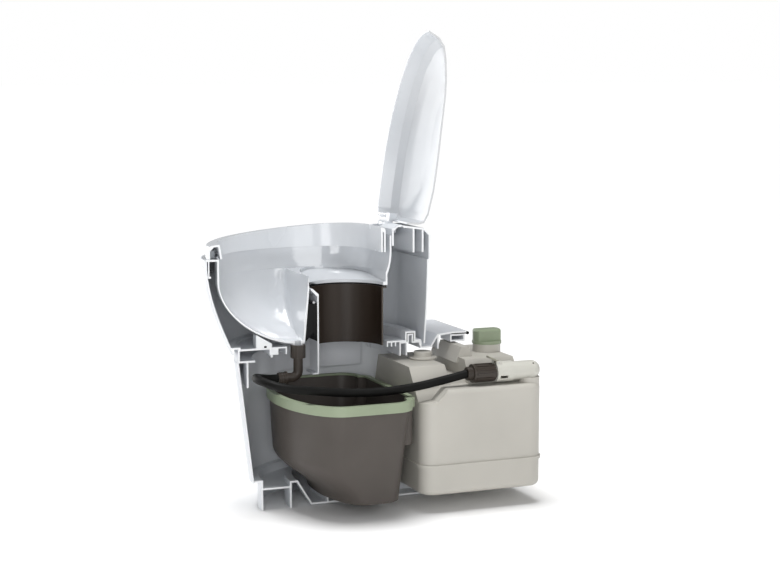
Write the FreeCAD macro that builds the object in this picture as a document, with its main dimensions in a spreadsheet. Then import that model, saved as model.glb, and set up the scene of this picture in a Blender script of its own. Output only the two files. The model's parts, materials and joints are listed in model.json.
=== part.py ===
import FreeCAD, Part
import math
import os
import re

import Sketcher
from FreeCAD import Rotation, Vector

# Urine-diverting dry toilet shown as a half section: the shells stop at the plane x = 0,
# the bin, the urine tank and the hose are whole. Front is -Y, rear is +Y, floor is z = 0.

DOC = FreeCAD.newDocument("dry_toilet")
SHEET = DOC.addObject("Spreadsheet::Sheet", "Sizes")

SIZES = {
    # Plan of the housing at its upper edge
    "housing_front": -220.0,
    "housing_rear": 155.0,
    "housing_over": 8.5,
    "housing_half_width": "=base_half_width + housing_over",
    "housing_nose": 200.0,
    "housing_corner": 50.0,
    "corner_least": 2.0,
    # Housing skirt
    "housing_wall": 2.6,
    "housing_top_z": 402.0,
    "rim_plate": 3.0,
    "housing_rear_drop": 11.0,
    "housing_rear_top_z": "=housing_top_z - housing_rear_drop",
    "housing_lap": 9.0,
    "housing_bottom_z": "=collar_top_z - housing_lap",
    "housing_tuck": 43.0,
    "housing_side_tuck": 3.0,
    "housing_rear_tuck": 6.0,
    "housing_ledge": 14.0,
    "housing_ledge_wall": 3.0,
    "bead_out": 4.0,
    "bead_height": 13.0,
    # Bowl
    "bowl_wall": 2.8,
    "bowl_land": 22.0,
    "bowl_side_land": 30.0,
    "bowl_half_width": "=housing_half_width - bowl_side_land",
    "bowl_rear": 87.0,
    "bowl_corner": 70.0,
    "bowl_floor_corner": 60.0,
    "bowl_basin_drop": 30.0,
    "bowl_basin_z": "=housing_top_z - bowl_basin_drop",
    "bowl_floor_drop": 15.0,
    "bowl_floor_z": "=bowl_basin_z - bowl_floor_drop",
    "bowl_slab_wall": 5.0,
    "bowl_slab_z": "=bowl_floor_z - bowl_slab_wall",
    "bowl_basin_draft": 7.0,
    "upstand_drop": 11.0,
    "bowl_upstand_z": "=hinge_z - upstand_drop",
    "upstand_side_in": 6.0,
    "bowl_upstand_half": "=bowl_half_width - upstand_side_in",
    "bowl_leg_wall": 2.0,
    "bowl_leg_gap": 0.4,
    "bowl_leg_drop": 26.0,
    "bowl_leg_z": "=housing_top_z - bowl_leg_drop",
    "bowl_hook": 2.6,
    "bowl_hook_height": 3.0,
    "funnel_rear": -51.0,
    "funnel_side_in": 14.0,
    "funnel_half_width": "=bowl_half_width - funnel_side_in",
    "funnel_rear_lean": 10.0,
    "funnel_bottom_z": 268.0,
    "funnel_power": 1.8,
    "drain_y": -70.0,
    "drain_bore": 5.0,
    "drain_wall": 2.6,
    "drain_length": 18.0,
    "drain_end_z": "=funnel_bottom_z - drain_length",
    # Chute below the bowl
    "chute_y": 12.5,
    "chute_radius": 63.0,
    "chute_wall": 2.5,
    "chute_lap": 8.0,
    "chute_bottom_z": "=collar_top_z - chute_lap",
    "chute_flange": 6.0,
    "chute_flange_wall": 2.5,
    "chute_seal_height": 2.5,
    # Separator between urine and solids
    "separator_y": -37.0,
    "separator_wall": 2.5,
    "separator_rise": 10.5,
    "separator_bottom_z": 214.0,
    "separator_foot": 8.0,
    "separator_pin_radius": 2.0,
    "separator_width": 38.0,
    "core_drop": 24.0,
    "core_top_z": "=bowl_slab_z - core_drop",
    "core_lap": 1.0,
    "core_bottom_z": "=funnel_bottom_z - core_lap",
    "core_notch": 14.0,
    "core_lean_share": 0.4,
    "core_gap": 0.4,
    # Hinge, deck over it, lid and seat
    "hinge_deck_in": 17.0,
    "hinge_y": "=deck_front + hinge_deck_in",
    "hinge_lift": 37.6,
    "hinge_z": "=seat_bottom_z + hinge_lift",
    "hinge_side_in": 82.0,
    "hinge_x": "=hinge_side_in - seat_half_width",
    "hinge_pin_radius": 3.2,
    "hinge_bore_gap": 0.3,
    "hinge_eye": 6.5,
    "hinge_eye_width": 14.0,
    "hinge_side_gap": 1.5,
    "deck_bowl_gap": 4.0,
    "deck_front": "=bowl_rear + deck_bowl_gap",
    "deck_over": 3.0,
    "deck_rear": "=housing_rear + deck_over",
    "deck_over_hinge": 5.0,
    "deck_top_z": "=hinge_z + deck_over_hinge",
    "deck_fall": 6.0,
    "deck_round": 12.0,
    "deck_crown": 18.0,
    "deck_wall": 3.0,
    "deck_panel_drop": 33.0,
    "deck_panel_z": "=deck_top_z - deck_panel_drop",
    "deck_rib_in": 36.0,
    "deck_rib_front": "=deck_front + deck_rib_in",
    "deck_rib_step": 16.0,
    "deck_rib_rear": "=deck_rib_front + deck_rib_step",
    "deck_rib_drop": 45.0,
    "deck_rib_z": "=deck_top_z - deck_rib_drop",
    "seat_overhang": -5.0,
    "seat_side_in": 12.0,
    "seat_half_width": "=housing_half_width - seat_side_in",
    "seat_rear_in": 7.0,
    "seat_rear": "=bowl_rear - seat_rear_in",
    "seat_corner_share": 0.62,
    "seat_corner": "=seat_half_width * seat_corner_share",
    "seat_ring": 23.0,
    "seat_rear_ring": 8.0,
    "seat_soft_share": 0.3,
    "seat_flare": 8.0,
    "seat_gap": 0.4,
    "seat_bottom_z": "=housing_top_z + rim_plate + seat_gap",
    "seat_front_thick": 21.2,
    "seat_rear_thick": 40.5,
    "seat_round": 6.0,
    "seat_wall": 3.0,
    "buffer_radius": 6.0,
    "buffer_height": 12.0,
    "buffer_gap": 0.4,
    "lid_front_in": 9.0,
    "lid_length": "=hinge_y - housing_front - lid_front_in",
    "lid_rear": 7.0,
    "lid_edge": 7.5,
    "lid_height": 43.0,
    "lid_wall_in": 13.0,
    "lid_wall_rise": 28.0,
    "lid_soft": 8.0,
    "lid_ledge_in": 42.0,
    "lid_ledge_rise": 36.5,
    "lid_crown_in": 75.0,
    "lid_crown_rise": 41.5,
    "lid_panel_in": 100.0,
    "lid_wall": 3.0,
    "lid_nose_share": 0.88,
    "lid_corner_share": 0.06,
    "lid_side_in": 21.0,
    "lid_half_width": "=seat_half_width - lid_side_in",
    "lid_lean": 97.0,
    # Collar between the base and the housing
    "collar_front_in": 1.0,
    "collar_front": "=base_front + collar_front_in",
    "collar_side_in": 0.5,
    "collar_half_width": "=base_half_width - collar_side_in",
    "collar_rear": 110.0,
    "collar_corner": 20.0,
    "collar_nose": "=base_nose - collar_front_in",
    "collar_height": 22.0,
    "collar_top_z": "=collar_bottom_z + collar_height",
    "collar_bottom_z": "=base_top_z",
    "collar_width": 57.0,
    "collar_wall": 3.0,
    "collar_skirt_in": 14.0,
    "collar_skirt": 40.0,
    "collar_skirt_z": "=collar_bottom_z - collar_skirt",
    "collar_bottom_in": 28.0,
    "wedge_in": 30.0,
    "wedge_width": 26.0,
    "wedge_height": 21.0,
    "wedge_top_z": "=collar_top_z + wedge_height",
    "wedge_low_height": 6.0,
    "wedge_low_z": "=collar_top_z + wedge_low_height",
    "seal_width": 4.0,
    "seal_height": 3.0,
    "bracket_y": -117.0,
    "bracket_length": 29.0,
    "bracket_height": 12.0,
    "bracket_width": 46.0,
    "bracket_wall": 2.4,
    # Rear deck sheets
    "sheet_wall": 2.6,
    "sheet_side_in": 17.5,
    "sheet_half_width": "=base_half_width - sheet_side_in",
    "sheet_front": 90.0,
    "ridge_side_in": 12.0,
    "ridge_half_width": "=sheet_half_width - ridge_side_in",
    "ridge_corner": 78.0,
    "ridge_width": 18.0,
    "ridge_height": 14.0,
    "ridge_crest_z": "=ridge_base_z + ridge_height",
    "ridge_flange": 10.0,
    "leg_front": 104.0,
    "leg_rear": 115.0,
    "leg_z": 235.0,
    "tongue_half_width": 52.0,
    "tongue_front": 82.0,
    "ridge_front": 114.0,
    "ridge_base_drop": 2.0,
    "ridge_base_z": "=collar_top_z - ridge_base_drop",
    "gasket_wall": 1.2,
    "valley_front": 143.0,
    "valley_length": 16.0,
    "valley_drop": 12.0,
    "valley_z": "=ridge_base_z - valley_drop",
    "tail_rise": 28.0,
    "tail_lift": 21.0,
    "tail_z": "=valley_z + tail_lift",
    "tail_rear": 223.0,
    "comb_step": 7.0,
    "comb_wall": 2.2,
    "comb_height": 9.0,
    "plate_z": 242.5,
    "latch_front": 194.0,
    "latch_height": 12.0,
    "latch_half_width": 40.0,
    "bulb_radius": 2.6,
    "tail_seal_wall": 1.8,
    "tail_seal_length": 24.0,
    # Base shell and pan
    "base_front": -170.0,
    "base_half_width": 157.5,
    "base_nose": 170.0,
    "base_rear": 150.0,
    "base_corner": 18.0,
    "base_top_z": 240.0,
    "base_bottom_z": 45.0,
    "base_tuck": 23.0,
    "base_side_tuck": 6.0,
    "base_wall": 2.6,
    "base_return": 14.0,
    "pan_front_in": 14.0,
    "pan_front": "=base_front + base_tuck + pan_front_in",
    "pan_side_in": 11.5,
    "pan_half_width": "=base_half_width - base_side_tuck - pan_side_in",
    "pan_rear_in": 11.0,
    "pan_rear": "=tank_rear - pan_rear_in",
    "pan_nose": 143.0,
    "pan_corner": 26.0,
    "pan_wall": 3.0,
    "pan_flange_lap": 4.0,
    "pan_flange_z": "=base_bottom_z + pan_flange_lap",
    "pan_rail_z": 26.0,
    "pan_channel_z": 36.0,
    "pan_lip_z": 44.0,
    "pan_floor_z": 5.0,
    "rail_inner_share": 0.25,
    "rail_outer_share": 0.75,
    "rest_share": 0.6,
    "well_front_in": 34.0,
    "well_front": "=bin_front + well_front_in",
    "well_side_in": 12.0,
    "well_half_width": "=pan_half_width - well_side_in",
    "well_nose": 90.0,
    "well_tank_gap": 4.5,
    "well_rear": "=tank_front - well_tank_gap",
    "well_corner": 30.0,
    "well_tuck": 26.0,
    "channel_rear": 13.0,
    "channel_side": 5.0,
    # Solids bin
    "bin_front_room": 64.0,
    "bin_front": "=base_front + bin_front_room",
    "grip_depth": 11.0,
    "bin_rear": "=grip_rear - grip_depth",
    "bin_side_room": 17.5,
    "bin_half_width": "=base_half_width - bin_side_room",
    "bin_nose": 70.0,
    "bin_corner": 32.0,
    "bin_bottom_z": 24.0,
    "bin_belly": 68.0,
    "bin_belly_z": "=bin_bottom_z + bin_belly",
    "bin_top_z": 184.0,
    "bin_front_tuck": 58.0,
    "bin_side_tuck": 24.0,
    "bin_rear_tuck": 10.0,
    "bin_draft": 6.0,
    "bin_wall": 2.5,
    "bin_rest_gap": 0.3,
    "rim_height": 15.0,
    "rim_over": 3.0,
    "rim_out": 4.0,
    "rim_gap": 0.3,
    "rim_land": 5.0,
    "grip_side_in": 32.0,
    "grip_half_width": "=bin_half_width - grip_side_in",
    "bin_tank_gap": 10.0,
    "grip_rear": "=tank_front - bin_tank_gap",
    "grip_corner": 14.0,
    "grip_low_z": 112.0,
    # Urine tank
    "tank_front": 96.0,
    "tank_rear": 307.0,
    "tank_side_in": 20.0,
    "tank_half_width": "=pan_half_width - tank_side_in",
    "tank_corner": 24.0,
    "tank_bottom_z": 28.0,
    "tank_top_z": 197.0,
    "tank_wall": 3.0,
    "tank_round": 9.0,
    "seam_z": 75.0,
    "seam_height": 5.0,
    "seam_out": 2.5,
    "tier_lead": 3.0,
    "tier_front": "=tank_front - tier_lead",
    "tier_z": 228.0,
    "tier_side_in": 16.0,
    "tier_half_width": "=tank_half_width - tier_side_in",
    "tier_top_in": 38.0,
    "tier_top_half_width": "=tier_half_width - tier_top_in",
    "recess_front": 164.0,
    "recess_rear": 190.0,
    "recess_z": 206.0,
    "step_front_z": 176.0,
    "step_low_y": 120.0,
    "step_low_z": 179.0,
    "step_top_y": 140.0,
    "block_rear_in": 22.0,
    "block_rear": "=tank_rear - block_rear_in",
    "block_z": 234.0,
    "hump_rear": 218.0,
    "hump_z": 250.0,
    "hump_half_width": 42.0,
    "neck_in": 25.0,
    "neck_y": "=block_rear - neck_in",
    "neck_radius": 23.0,
    "neck_bore": 15.0,
    "neck_height": 12.7,
    "neck_z": "=block_z + neck_height",
    "cap_flange_radius": 24.5,
    "cap_flange_height": 4.0,
    "cap_height": 24.0,
    "cap_grip": 26.0,
    "cap_grip_step": 1.0,
    "cap_round": 4.0,
    "cap_gap": 0.3,
    "vent_y": 145.0,
    "vent_flange_radius": 23.0,
    "vent_flange_height": 3.5,
    "vent_radius": 15.0,
    "vent_height": 8.5,
    # Spout, coupling, hose and drain fittings
    "spout_side_in": 25.0,
    "spout_x": "=tank_half_width - spout_side_in",
    "spout_z": 216.0,
    "spout_radius": 15.0,
    "spout_bore": 11.6,
    "spout_front": 259.0,
    "spout_over": 2.0,
    "spout_rear": "=tank_rear + spout_over",
    "boss_rear_in": 16.0,
    "boss_y": "=tank_rear - boss_rear_in",
    "boss_radius": 13.0,
    "boss_foot_radius": 17.0,
    "boss_foot_height": 8.0,
    "boss_foot_sink": 6.0,
    "spout_inner_bore": 9.6,
    "spout_vent_radius": 1.5,
    "spout_vent_slope": 0.4,
    "clip_front": 229.0,
    "clip_radius": 16.5,
    "clip_window": 9.0,
    "tab_length": 16.0,
    "tab_width": 12.0,
    "tab_wall": 3.0,
    "tab_pin_radius": 1.2,
    "tab_boss": 2.6,
    "tab_gap": 0.4,
    "connector_front": 192.0,
    "connector_rear": 227.0,
    "connector_radius": 14.0,
    "connector_nose": 11.0,
    "connector_nose_length": 14.0,
    "connector_ribs": 12.0,
    "connector_rib": 1.2,
    "ring_front": 180.0,
    "ring_radius": 15.0,
    "ring_grip": 10.5,
    "ring_flange": 3.0,
    "hose_radius": 6.75,
    "hose_bore": 4.75,
    "hose_swing": 1.5,
    "hose_turn": "=spout_x / 2 + hose_swing",
    "hose_lift": 10.0,
    "hose_end_lift": 1.0,
    "hose_sag": 19.0,
    "drain_lip": 2.0,
    "drain_lip_height": 3.0,
    "nut_sides": 8.0,
    "nut_flat_share": 0.94,
    "nut_radius": 12.0,
    "nut_drop": 4.0,
    "nut_top_z": "=funnel_bottom_z - nut_drop",
    "nut_height": 21.0,
    "nut_bottom_z": "=nut_top_z - nut_height",
    "elbow_radius": 7.6,
    "elbow_bore": 4.6,
    "elbow_bend": 11.0,
    "elbow_z": 212.0,
    "elbow_end": -104.0,
    "elbow_ring_y": -92.0,
    "elbow_ring": 3.0,
    "elbow_ring_wall": 3.0,
}

for row, alias in enumerate(SIZES, 1):
    SHEET.set(f"A{row}", alias)
    SHEET.setAlias(f"B{row}", alias)
for row, number in enumerate(SIZES.values(), 1):
    SHEET.set(f"B{row}", str(number))
DOC.recompute()

PIECES = []
FAR = 1000.0
RUN_SHARE = 0.45
END_SHARE = 0.9
HOSE_SHARES = (0.15, 0.32, 0.5, 0.68, 0.84)
CUT_SIDE = Part.makeBox(FAR, 2 * FAR, 2 * FAR, Vector(-FAR, -FAR, -FAR))


def size(alias):
    """Driving dimension, read from the sheet."""
    return float(SHEET.get(alias))


def bound(expression):
    """Expression on the sheet's aliases, as document objects write it."""
    return re.sub(r"[a-z]\w*", r"Sizes.\g<0>", expression)


def value(expression):
    """Number that an expression on the sheet gives now."""
    return float(SHEET.evalExpression(bound(expression)))


def bind(feature, **expressions):
    """Bind properties of a feature to expressions on the sheet."""
    for name, expression in expressions.items():
        feature.setExpression(name.replace("__", "."), bound(expression))


def solid_of(shape):
    """The one solid of a boolean result, with its seams merged."""
    shape = shape.removeSplitter()
    if len(shape.Solids) == 1:
        return shape.Solids[0]
    return shape


def half(shape):
    """Far half of a whole shell, cut at the section plane."""
    return shape.common(CUT_SIDE)


def piece(label, shape):
    """Sub-part whose shape is worked out from the sheet."""
    feature = DOC.addObject("Part::Feature", label)
    feature.Label = label
    feature.Shape = solid_of(shape)
    PIECES.append(feature)
    return feature


def nose_edge(front, back, half_width, z):
    """Half ellipse from the left flank round the front to the right flank."""
    centre, left, right = Vector(0, back, z), Vector(-half_width, back, z), Vector(half_width, back, z)
    if back - front > half_width:
        ellipse = Part.Ellipse(Vector(0, front, z), right, centre)
    else:
        ellipse = Part.Ellipse(right, Vector(0, 2 * back - front, z), centre)
    begin, end = ellipse.parameter(left), ellipse.parameter(right)
    if end <= begin:
        end += 2 * math.pi
    return Part.ArcOfEllipse(ellipse, begin, end).toShape()


class Plan:
    """Plan outline: elliptic nose, straight flanks, two round rear corners."""

    def __init__(self, front, rear, half_width, nose, corner):
        self.front = front
        self.rear = rear
        self.half_width = half_width
        self.nose = nose
        self.corner = corner

    def grown(self, gap):
        return Plan(self.front - gap, self.rear + gap, self.half_width + gap,
                    self.nose + gap, max(self.corner + gap, size("corner_least")))

    def moved(self, front=0.0, side=0.0, rear=0.0):
        """Outline drawn in at the front, the flanks and the rear."""
        return Plan(self.front + front, self.rear - rear, self.half_width - side,
                    self.nose - front * self.nose / (self.rear - self.front), self.corner)

    def wire(self, z):
        w, r, y = self.half_width, self.corner, self.front + self.nose
        left, right = Vector(-w, y, z), Vector(w, y, z)
        flank, shoulder = self.rear - r, w - r
        bow = r * math.sqrt(0.5)
        right_corner = Part.Arc(Vector(w, flank, z), Vector(shoulder + bow, flank + bow, z),
                                Vector(shoulder, self.rear, z))
        left_corner = Part.Arc(Vector(-shoulder, self.rear, z), Vector(-shoulder - bow, flank + bow, z),
                               Vector(-w, flank, z))
        edges = [nose_edge(self.front, y, w, z),
                 Part.LineSegment(right, Vector(w, flank, z)).toShape(),
                 right_corner.toShape(),
                 Part.LineSegment(Vector(shoulder, self.rear, z),
                                  Vector(-shoulder, self.rear, z)).toShape(),
                 left_corner.toShape(),
                 Part.LineSegment(Vector(-w, flank, z), left).toShape()]
        return Part.Wire(edges)

    def slab(self, low, high):
        return Part.Face(self.wire(low)).extrude(Vector(0, 0, high - low))


def ring(outer, inner, low, high):
    """Band of one plan outline outside another."""
    return outer.slab(low, high).cut(inner.slab(low, high))


def loft(sections, ruled=False):
    """Solid through plan outlines given as (plan, height)."""
    return Part.makeLoft([plan.wire(z) for plan, z in sections], True, ruled)


def box(x0, x1, y0, y1, z0, z1):
    return Part.makeBox(x1 - x0, y1 - y0, z1 - z0, Vector(x0, y0, z0))


def prism(corners, x0, x1):
    """Side profile of (y, z) corners, extruded from x0 to x1."""
    points = [Vector(x0, y, z) for y, z in corners]
    return Part.Face(Part.makePolygon(points + points[:1])).extrude(Vector(x1 - x0, 0, 0))


def sheet(line, wall, x0, x1):
    """Bent sheet: a side line of (y, z) points with one thickness, below the line."""
    wire = Part.makePolygon([Vector(x0, y, z) for y, z in line])
    face = wire.makeOffset2D(wall, 2, True, True)
    return face.extrude(Vector(x1 - x0, 0, 0))


def along_y(radius, x, z, y0, y1):
    return Part.makeCylinder(radius, y1 - y0, Vector(x, y0, z), Vector(0, 1, 0))


def along_z(radius, x, y, z0, z1):
    return Part.makeCylinder(radius, z1 - z0, Vector(x, y, z0), Vector(0, 0, 1))


def new_body(label):
    body = DOC.addObject("PartDesign::Body", label)
    body.Label = label
    PIECES.append(body)
    return body


def new_sketch(body, role, name):
    plane = next(feature for feature in body.Origin.OriginFeatures if feature.Role == role)
    sketch = body.newObject("Sketcher::SketchObject", name)
    sketch.AttachmentSupport = (plane, [""])
    sketch.MapMode = "FlatFace"
    return sketch


def draw(sketch, corners):
    """Closed outline whose corners are pairs of expressions on the sheet."""
    places = [Vector(value(across), value(up), 0) for across, up in corners]
    count = len(places)
    for index, place in enumerate(places):
        sketch.addGeometry(Part.LineSegment(place, places[(index + 1) % count]), False)
    for index in range(count):
        sketch.addConstraint(Sketcher.Constraint("Coincident", index, 2, (index + 1) % count, 1))
    for index, pair in enumerate(corners):
        across, up = ("DistanceX", pair[0], "across", -2), ("DistanceY", pair[1], "up", -1)
        for kind, expression, tag, axis in (across, up):
            if expression == "0":
                sketch.addConstraint(Sketcher.Constraint("PointOnObject", index, 1, axis))
                continue
            name = f"{tag}_{index}"
            datum = sketch.addConstraint(Sketcher.Constraint(kind, -1, 1, index, 1, value(expression)))
            sketch.renameConstraint(datum, name)
            sketch.setExpression(f"Constraints.{name}", bound(expression))


def turned(label, corners, **place):
    """Body turned about its own upright axis from (radius, height) corners."""
    body = new_body(label)
    sketch = new_sketch(body, "XZ_Plane", f"{label}_profile")
    draw(sketch, corners)
    spin = body.newObject("PartDesign::Revolution", f"{label}_turn")
    spin.Profile = sketch
    spin.ReferenceAxis = (sketch, ["V_Axis"])
    spin.Angle = 360
    bind(body, **place)
    return body


def padded(label, corners, width, **place):
    """Body with a side profile of (y, z) corners, padded to -X from the section plane."""
    body = new_body(label)
    sketch = new_sketch(body, "YZ_Plane", f"{label}_profile")
    draw(sketch, corners)
    pad = body.newObject("PartDesign::Pad", f"{label}_pad")
    pad.Profile = sketch
    pad.Reversed = True
    bind(pad, Length=width)
    bind(body, **place)
    return body


HOUSING = Plan(size("housing_front"), size("housing_rear"), size("housing_half_width"),
               size("housing_nose"), size("housing_corner"))
BASE = Plan(size("base_front"), size("base_rear"), size("base_half_width"),
            size("base_nose"), size("base_corner"))
COLLAR = Plan(size("collar_front"), size("collar_rear"), size("collar_half_width"),
              size("collar_nose"), size("collar_corner"))
PAN = Plan(size("pan_front"), size("pan_rear"), size("pan_half_width"),
           size("pan_nose"), size("pan_corner"))
WELL = Plan(size("well_front"), size("well_rear"), size("well_half_width"),
            size("well_nose"), size("well_corner"))
BIN = Plan(size("bin_front"), size("bin_rear"), size("bin_half_width"),
           size("bin_nose"), size("bin_corner"))


def housing_at(rise):
    """Housing outline at a share of its height: it flares like a quarter sine."""
    share = 1 - math.sin(rise * math.pi / 2)
    return HOUSING.moved(size("housing_tuck") * share, size("housing_side_tuck") * share,
                         size("housing_rear_tuck") * share)


def upper_housing():
    low, high = size("housing_bottom_z"), size("housing_top_z")
    wall = size("housing_wall")
    steps = (0.0, 0.35, 0.7, 1.0)
    outer = loft([(housing_at(step), low + step * (high - low)) for step in steps])
    inner = loft([(housing_at(step).grown(-wall), low + step * (high - low)) for step in steps])
    shell = outer.cut(inner)
    bead_top = high + size("rim_plate")
    bead_low = bead_top - size("bead_height")
    bead_out = size("bead_out")
    bead = loft([(HOUSING.grown(bead_out / 2), bead_low), (HOUSING.grown(bead_out), bead_low + bead_out),
                 (HOUSING.grown(bead_out), bead_top - bead_out),
                 (HOUSING.grown(bead_out / 2), bead_top)], True)
    bead = bead.cut(HOUSING.grown(-wall / 2).slab(bead_low, high)).cut(HOUSING.slab(high, bead_top))
    ledge_z = size("collar_top_z")
    rise = (ledge_z - low) / (high - low)
    ledge = ring(housing_at(rise).grown(-wall / 2),
                 housing_at(rise).grown(-wall - size("housing_ledge")),
                 ledge_z, ledge_z + size("housing_ledge_wall"))
    ledge = ledge.cut(box(-FAR, FAR, size("collar_rear"), FAR, 0, FAR))
    rear_cut = box(-FAR, FAR, size("deck_front"), FAR, size("housing_rear_top_z"), FAR)
    return half(shell.fuse([bead, ledge]).cut(rear_cut))


def funnel(wall):
    """Front urine funnel: level sections shrink along a superellipse to the drain."""
    rear = size("funnel_rear")
    power = 2 / size("funnel_power")
    top, bottom = size("bowl_basin_z") + wall, size("funnel_bottom_z") - wall
    reach = rear - (size("housing_front") + size("bowl_land"))
    wires = []
    for step in (0.0, 0.22, 0.42, 0.6, 0.76, 0.88):
        angle = step * math.pi / 2
        depth, drop = math.cos(angle) ** power, math.sin(angle) ** power
        z = top - drop * (top - bottom)
        back = rear - drop * size("funnel_rear_lean") + wall
        front = back - 2 * wall - depth * reach
        side = size("funnel_half_width") * depth + wall
        left, right = Vector(-side, back, z), Vector(side, back, z)
        wires.append(Part.Wire([nose_edge(front, back, side, z), Part.LineSegment(right, left).toShape()]))
    return Part.makeLoft(wires, True, False)


def rim_plan():
    """Inner edge of the bowl."""
    land = size("bowl_land")
    return Plan(size("housing_front") + land, size("bowl_rear"), size("bowl_half_width"),
                size("housing_nose") - land, size("bowl_corner"))


def basin(wall):
    """Upper basin above the floor, open over the funnel and the chute."""
    rim = rim_plan().grown(wall)
    draft = size("bowl_basin_draft")
    low, high = size("bowl_basin_z") - wall, size("housing_top_z") + size("rim_plate")
    return loft([(rim.moved(0, draft, draft), low), (rim.moved(0, draft / 4, draft / 4), (low + high) / 2),
                 (rim, high)])


def bowl():
    wall = size("bowl_wall")
    top = size("housing_top_z")
    plate_z = top + size("rim_plate")
    draft = size("bowl_basin_draft")
    chute = Vector(0, size("chute_y"), 0)
    floor_plan = Plan(size("funnel_rear") - wall, size("bowl_rear") + wall - draft,
                      size("bowl_half_width") - draft + wall,
                      size("bowl_floor_corner"), size("bowl_floor_corner"))
    slab = floor_plan.slab(size("bowl_slab_z"), size("bowl_basin_z"))
    radius = size("chute_radius")
    spread = (size("bowl_basin_z") - size("bowl_floor_z")) * 6
    dish = Part.makeCone(radius, radius + spread, size("bowl_basin_z") - size("bowl_floor_z"),
                         chute + Vector(0, 0, size("bowl_floor_z")))
    dish = dish.common(floor_plan.grown(-wall).slab(size("bowl_floor_z"), size("bowl_basin_z")))
    throat = along_z(radius, 0, size("chute_y"), size("bowl_slab_z") - wall, size("bowl_basin_z"))
    drain_y, bore = size("drain_y"), size("drain_bore")
    stub = along_z(bore + size("drain_wall"), 0, drain_y, size("drain_end_z"),
                   size("funnel_bottom_z") + wall)
    drain = along_z(bore, 0, drain_y, size("drain_end_z"), size("funnel_bottom_z") + 2 * wall)
    outer_rim = Plan(size("housing_front"), size("bowl_rear") + wall, size("housing_half_width"),
                     size("housing_nose"), size("housing_corner")).grown(-size("bowl_leg_gap"))
    flange = ring(outer_rim, rim_plan(), top, plate_z)
    leg_rise = (size("bowl_leg_z") - size("housing_bottom_z")) / (top - size("housing_bottom_z"))
    leg_plan = housing_at(leg_rise).grown(-size("housing_wall") - size("bowl_leg_gap"))
    leg = ring(leg_plan, leg_plan.grown(-size("bowl_leg_wall")), size("bowl_leg_z"), top)
    hook = ring(leg_plan, leg_plan.grown(-size("bowl_leg_wall") - size("bowl_hook")),
                size("bowl_leg_z"), size("bowl_leg_z") + size("bowl_hook_height"))
    rear_cut = box(-FAR, FAR, size("bowl_rear") - size("bowl_corner") / 2, FAR, 0, top)
    upstand = box(-size("bowl_upstand_half"), 0, size("bowl_rear"), size("bowl_rear") + wall,
                  top, size("bowl_upstand_z"))
    shell = basin(wall).fuse([funnel(wall), slab, stub])
    cavity = basin(0).fuse([funnel(0), dish, throat, drain])
    rim = flange.fuse([leg.cut(rear_cut), hook.cut(rear_cut)])
    return half(shell.fuse([rim, upstand]).cut(cavity))


def chute():
    y, radius, wall = size("chute_y"), size("chute_radius"), size("chute_wall")
    seal = size("chute_seal_height")
    top = size("bowl_slab_z") - seal
    flange_low = top - size("chute_flange_wall")
    tube = along_z(radius, 0, y, size("chute_bottom_z"), top)
    flange = along_z(radius + size("chute_flange"), 0, y, flange_low, top)
    bore = along_z(radius - wall, 0, y, size("chute_bottom_z"), top)
    front_cut = box(-FAR, FAR, -FAR, size("separator_y") + size("separator_wall"), 0, FAR)
    piece("chute", half(tube.fuse(flange).cut(bore).cut(front_cut)))
    band = along_z(radius + size("chute_flange"), 0, y, top, top + seal)
    hole = along_z(radius, 0, y, top, top + seal)
    piece("chute_seal", half(band.cut(hole).cut(front_cut)))


def separator():
    """White wall behind the funnel, the black core and the cross pin."""
    y, wall = "separator_y", "separator_wall"
    top = "bowl_slab_z"
    shelf = f"{y} - separator_rise"
    knee = f"{top} - separator_rise"
    padded("separator_wall", (
        (shelf, top), (f"{shelf} + {wall}", top), (f"{y} + {wall}", f"{knee} + {wall} / 2"),
        (f"{y} + {wall}", "separator_bottom_z"),
        (f"{y} - separator_foot", "separator_bottom_z"),
        (f"{y} - separator_foot", f"separator_bottom_z + {wall} / 2"),
        (y, f"separator_bottom_z + {wall}"),
        (y, f"{knee} - {wall}"),
        (shelf, f"{top} - {wall}"),
    ), "separator_width")
    padded("separator_core", (
        ("funnel_rear - funnel_rear_lean * core_lean_share + bowl_wall + core_gap", "core_top_z"),
        (f"{y} - core_gap", "core_top_z"),
        (f"{y} - core_gap", "core_bottom_z"),
        (f"{y} - core_notch / 2", "core_bottom_z + core_notch"),
        ("funnel_rear - funnel_rear_lean + bowl_wall + core_gap", "core_bottom_z"),
    ), "separator_width")
    pin = DOC.addObject("Part::Cylinder", "separator_pin")
    pin.Label = "separator_pin"
    pin.Placement.Rotation = Rotation(Vector(0, 1, 0), -90)
    bind(pin, Radius="separator_pin_radius", Height="separator_width",
         Placement__Base__y=f"{y} - separator_pin_radius * 3",
         Placement__Base__z="core_top_z + separator_pin_radius")
    PIECES.append(pin)


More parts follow.
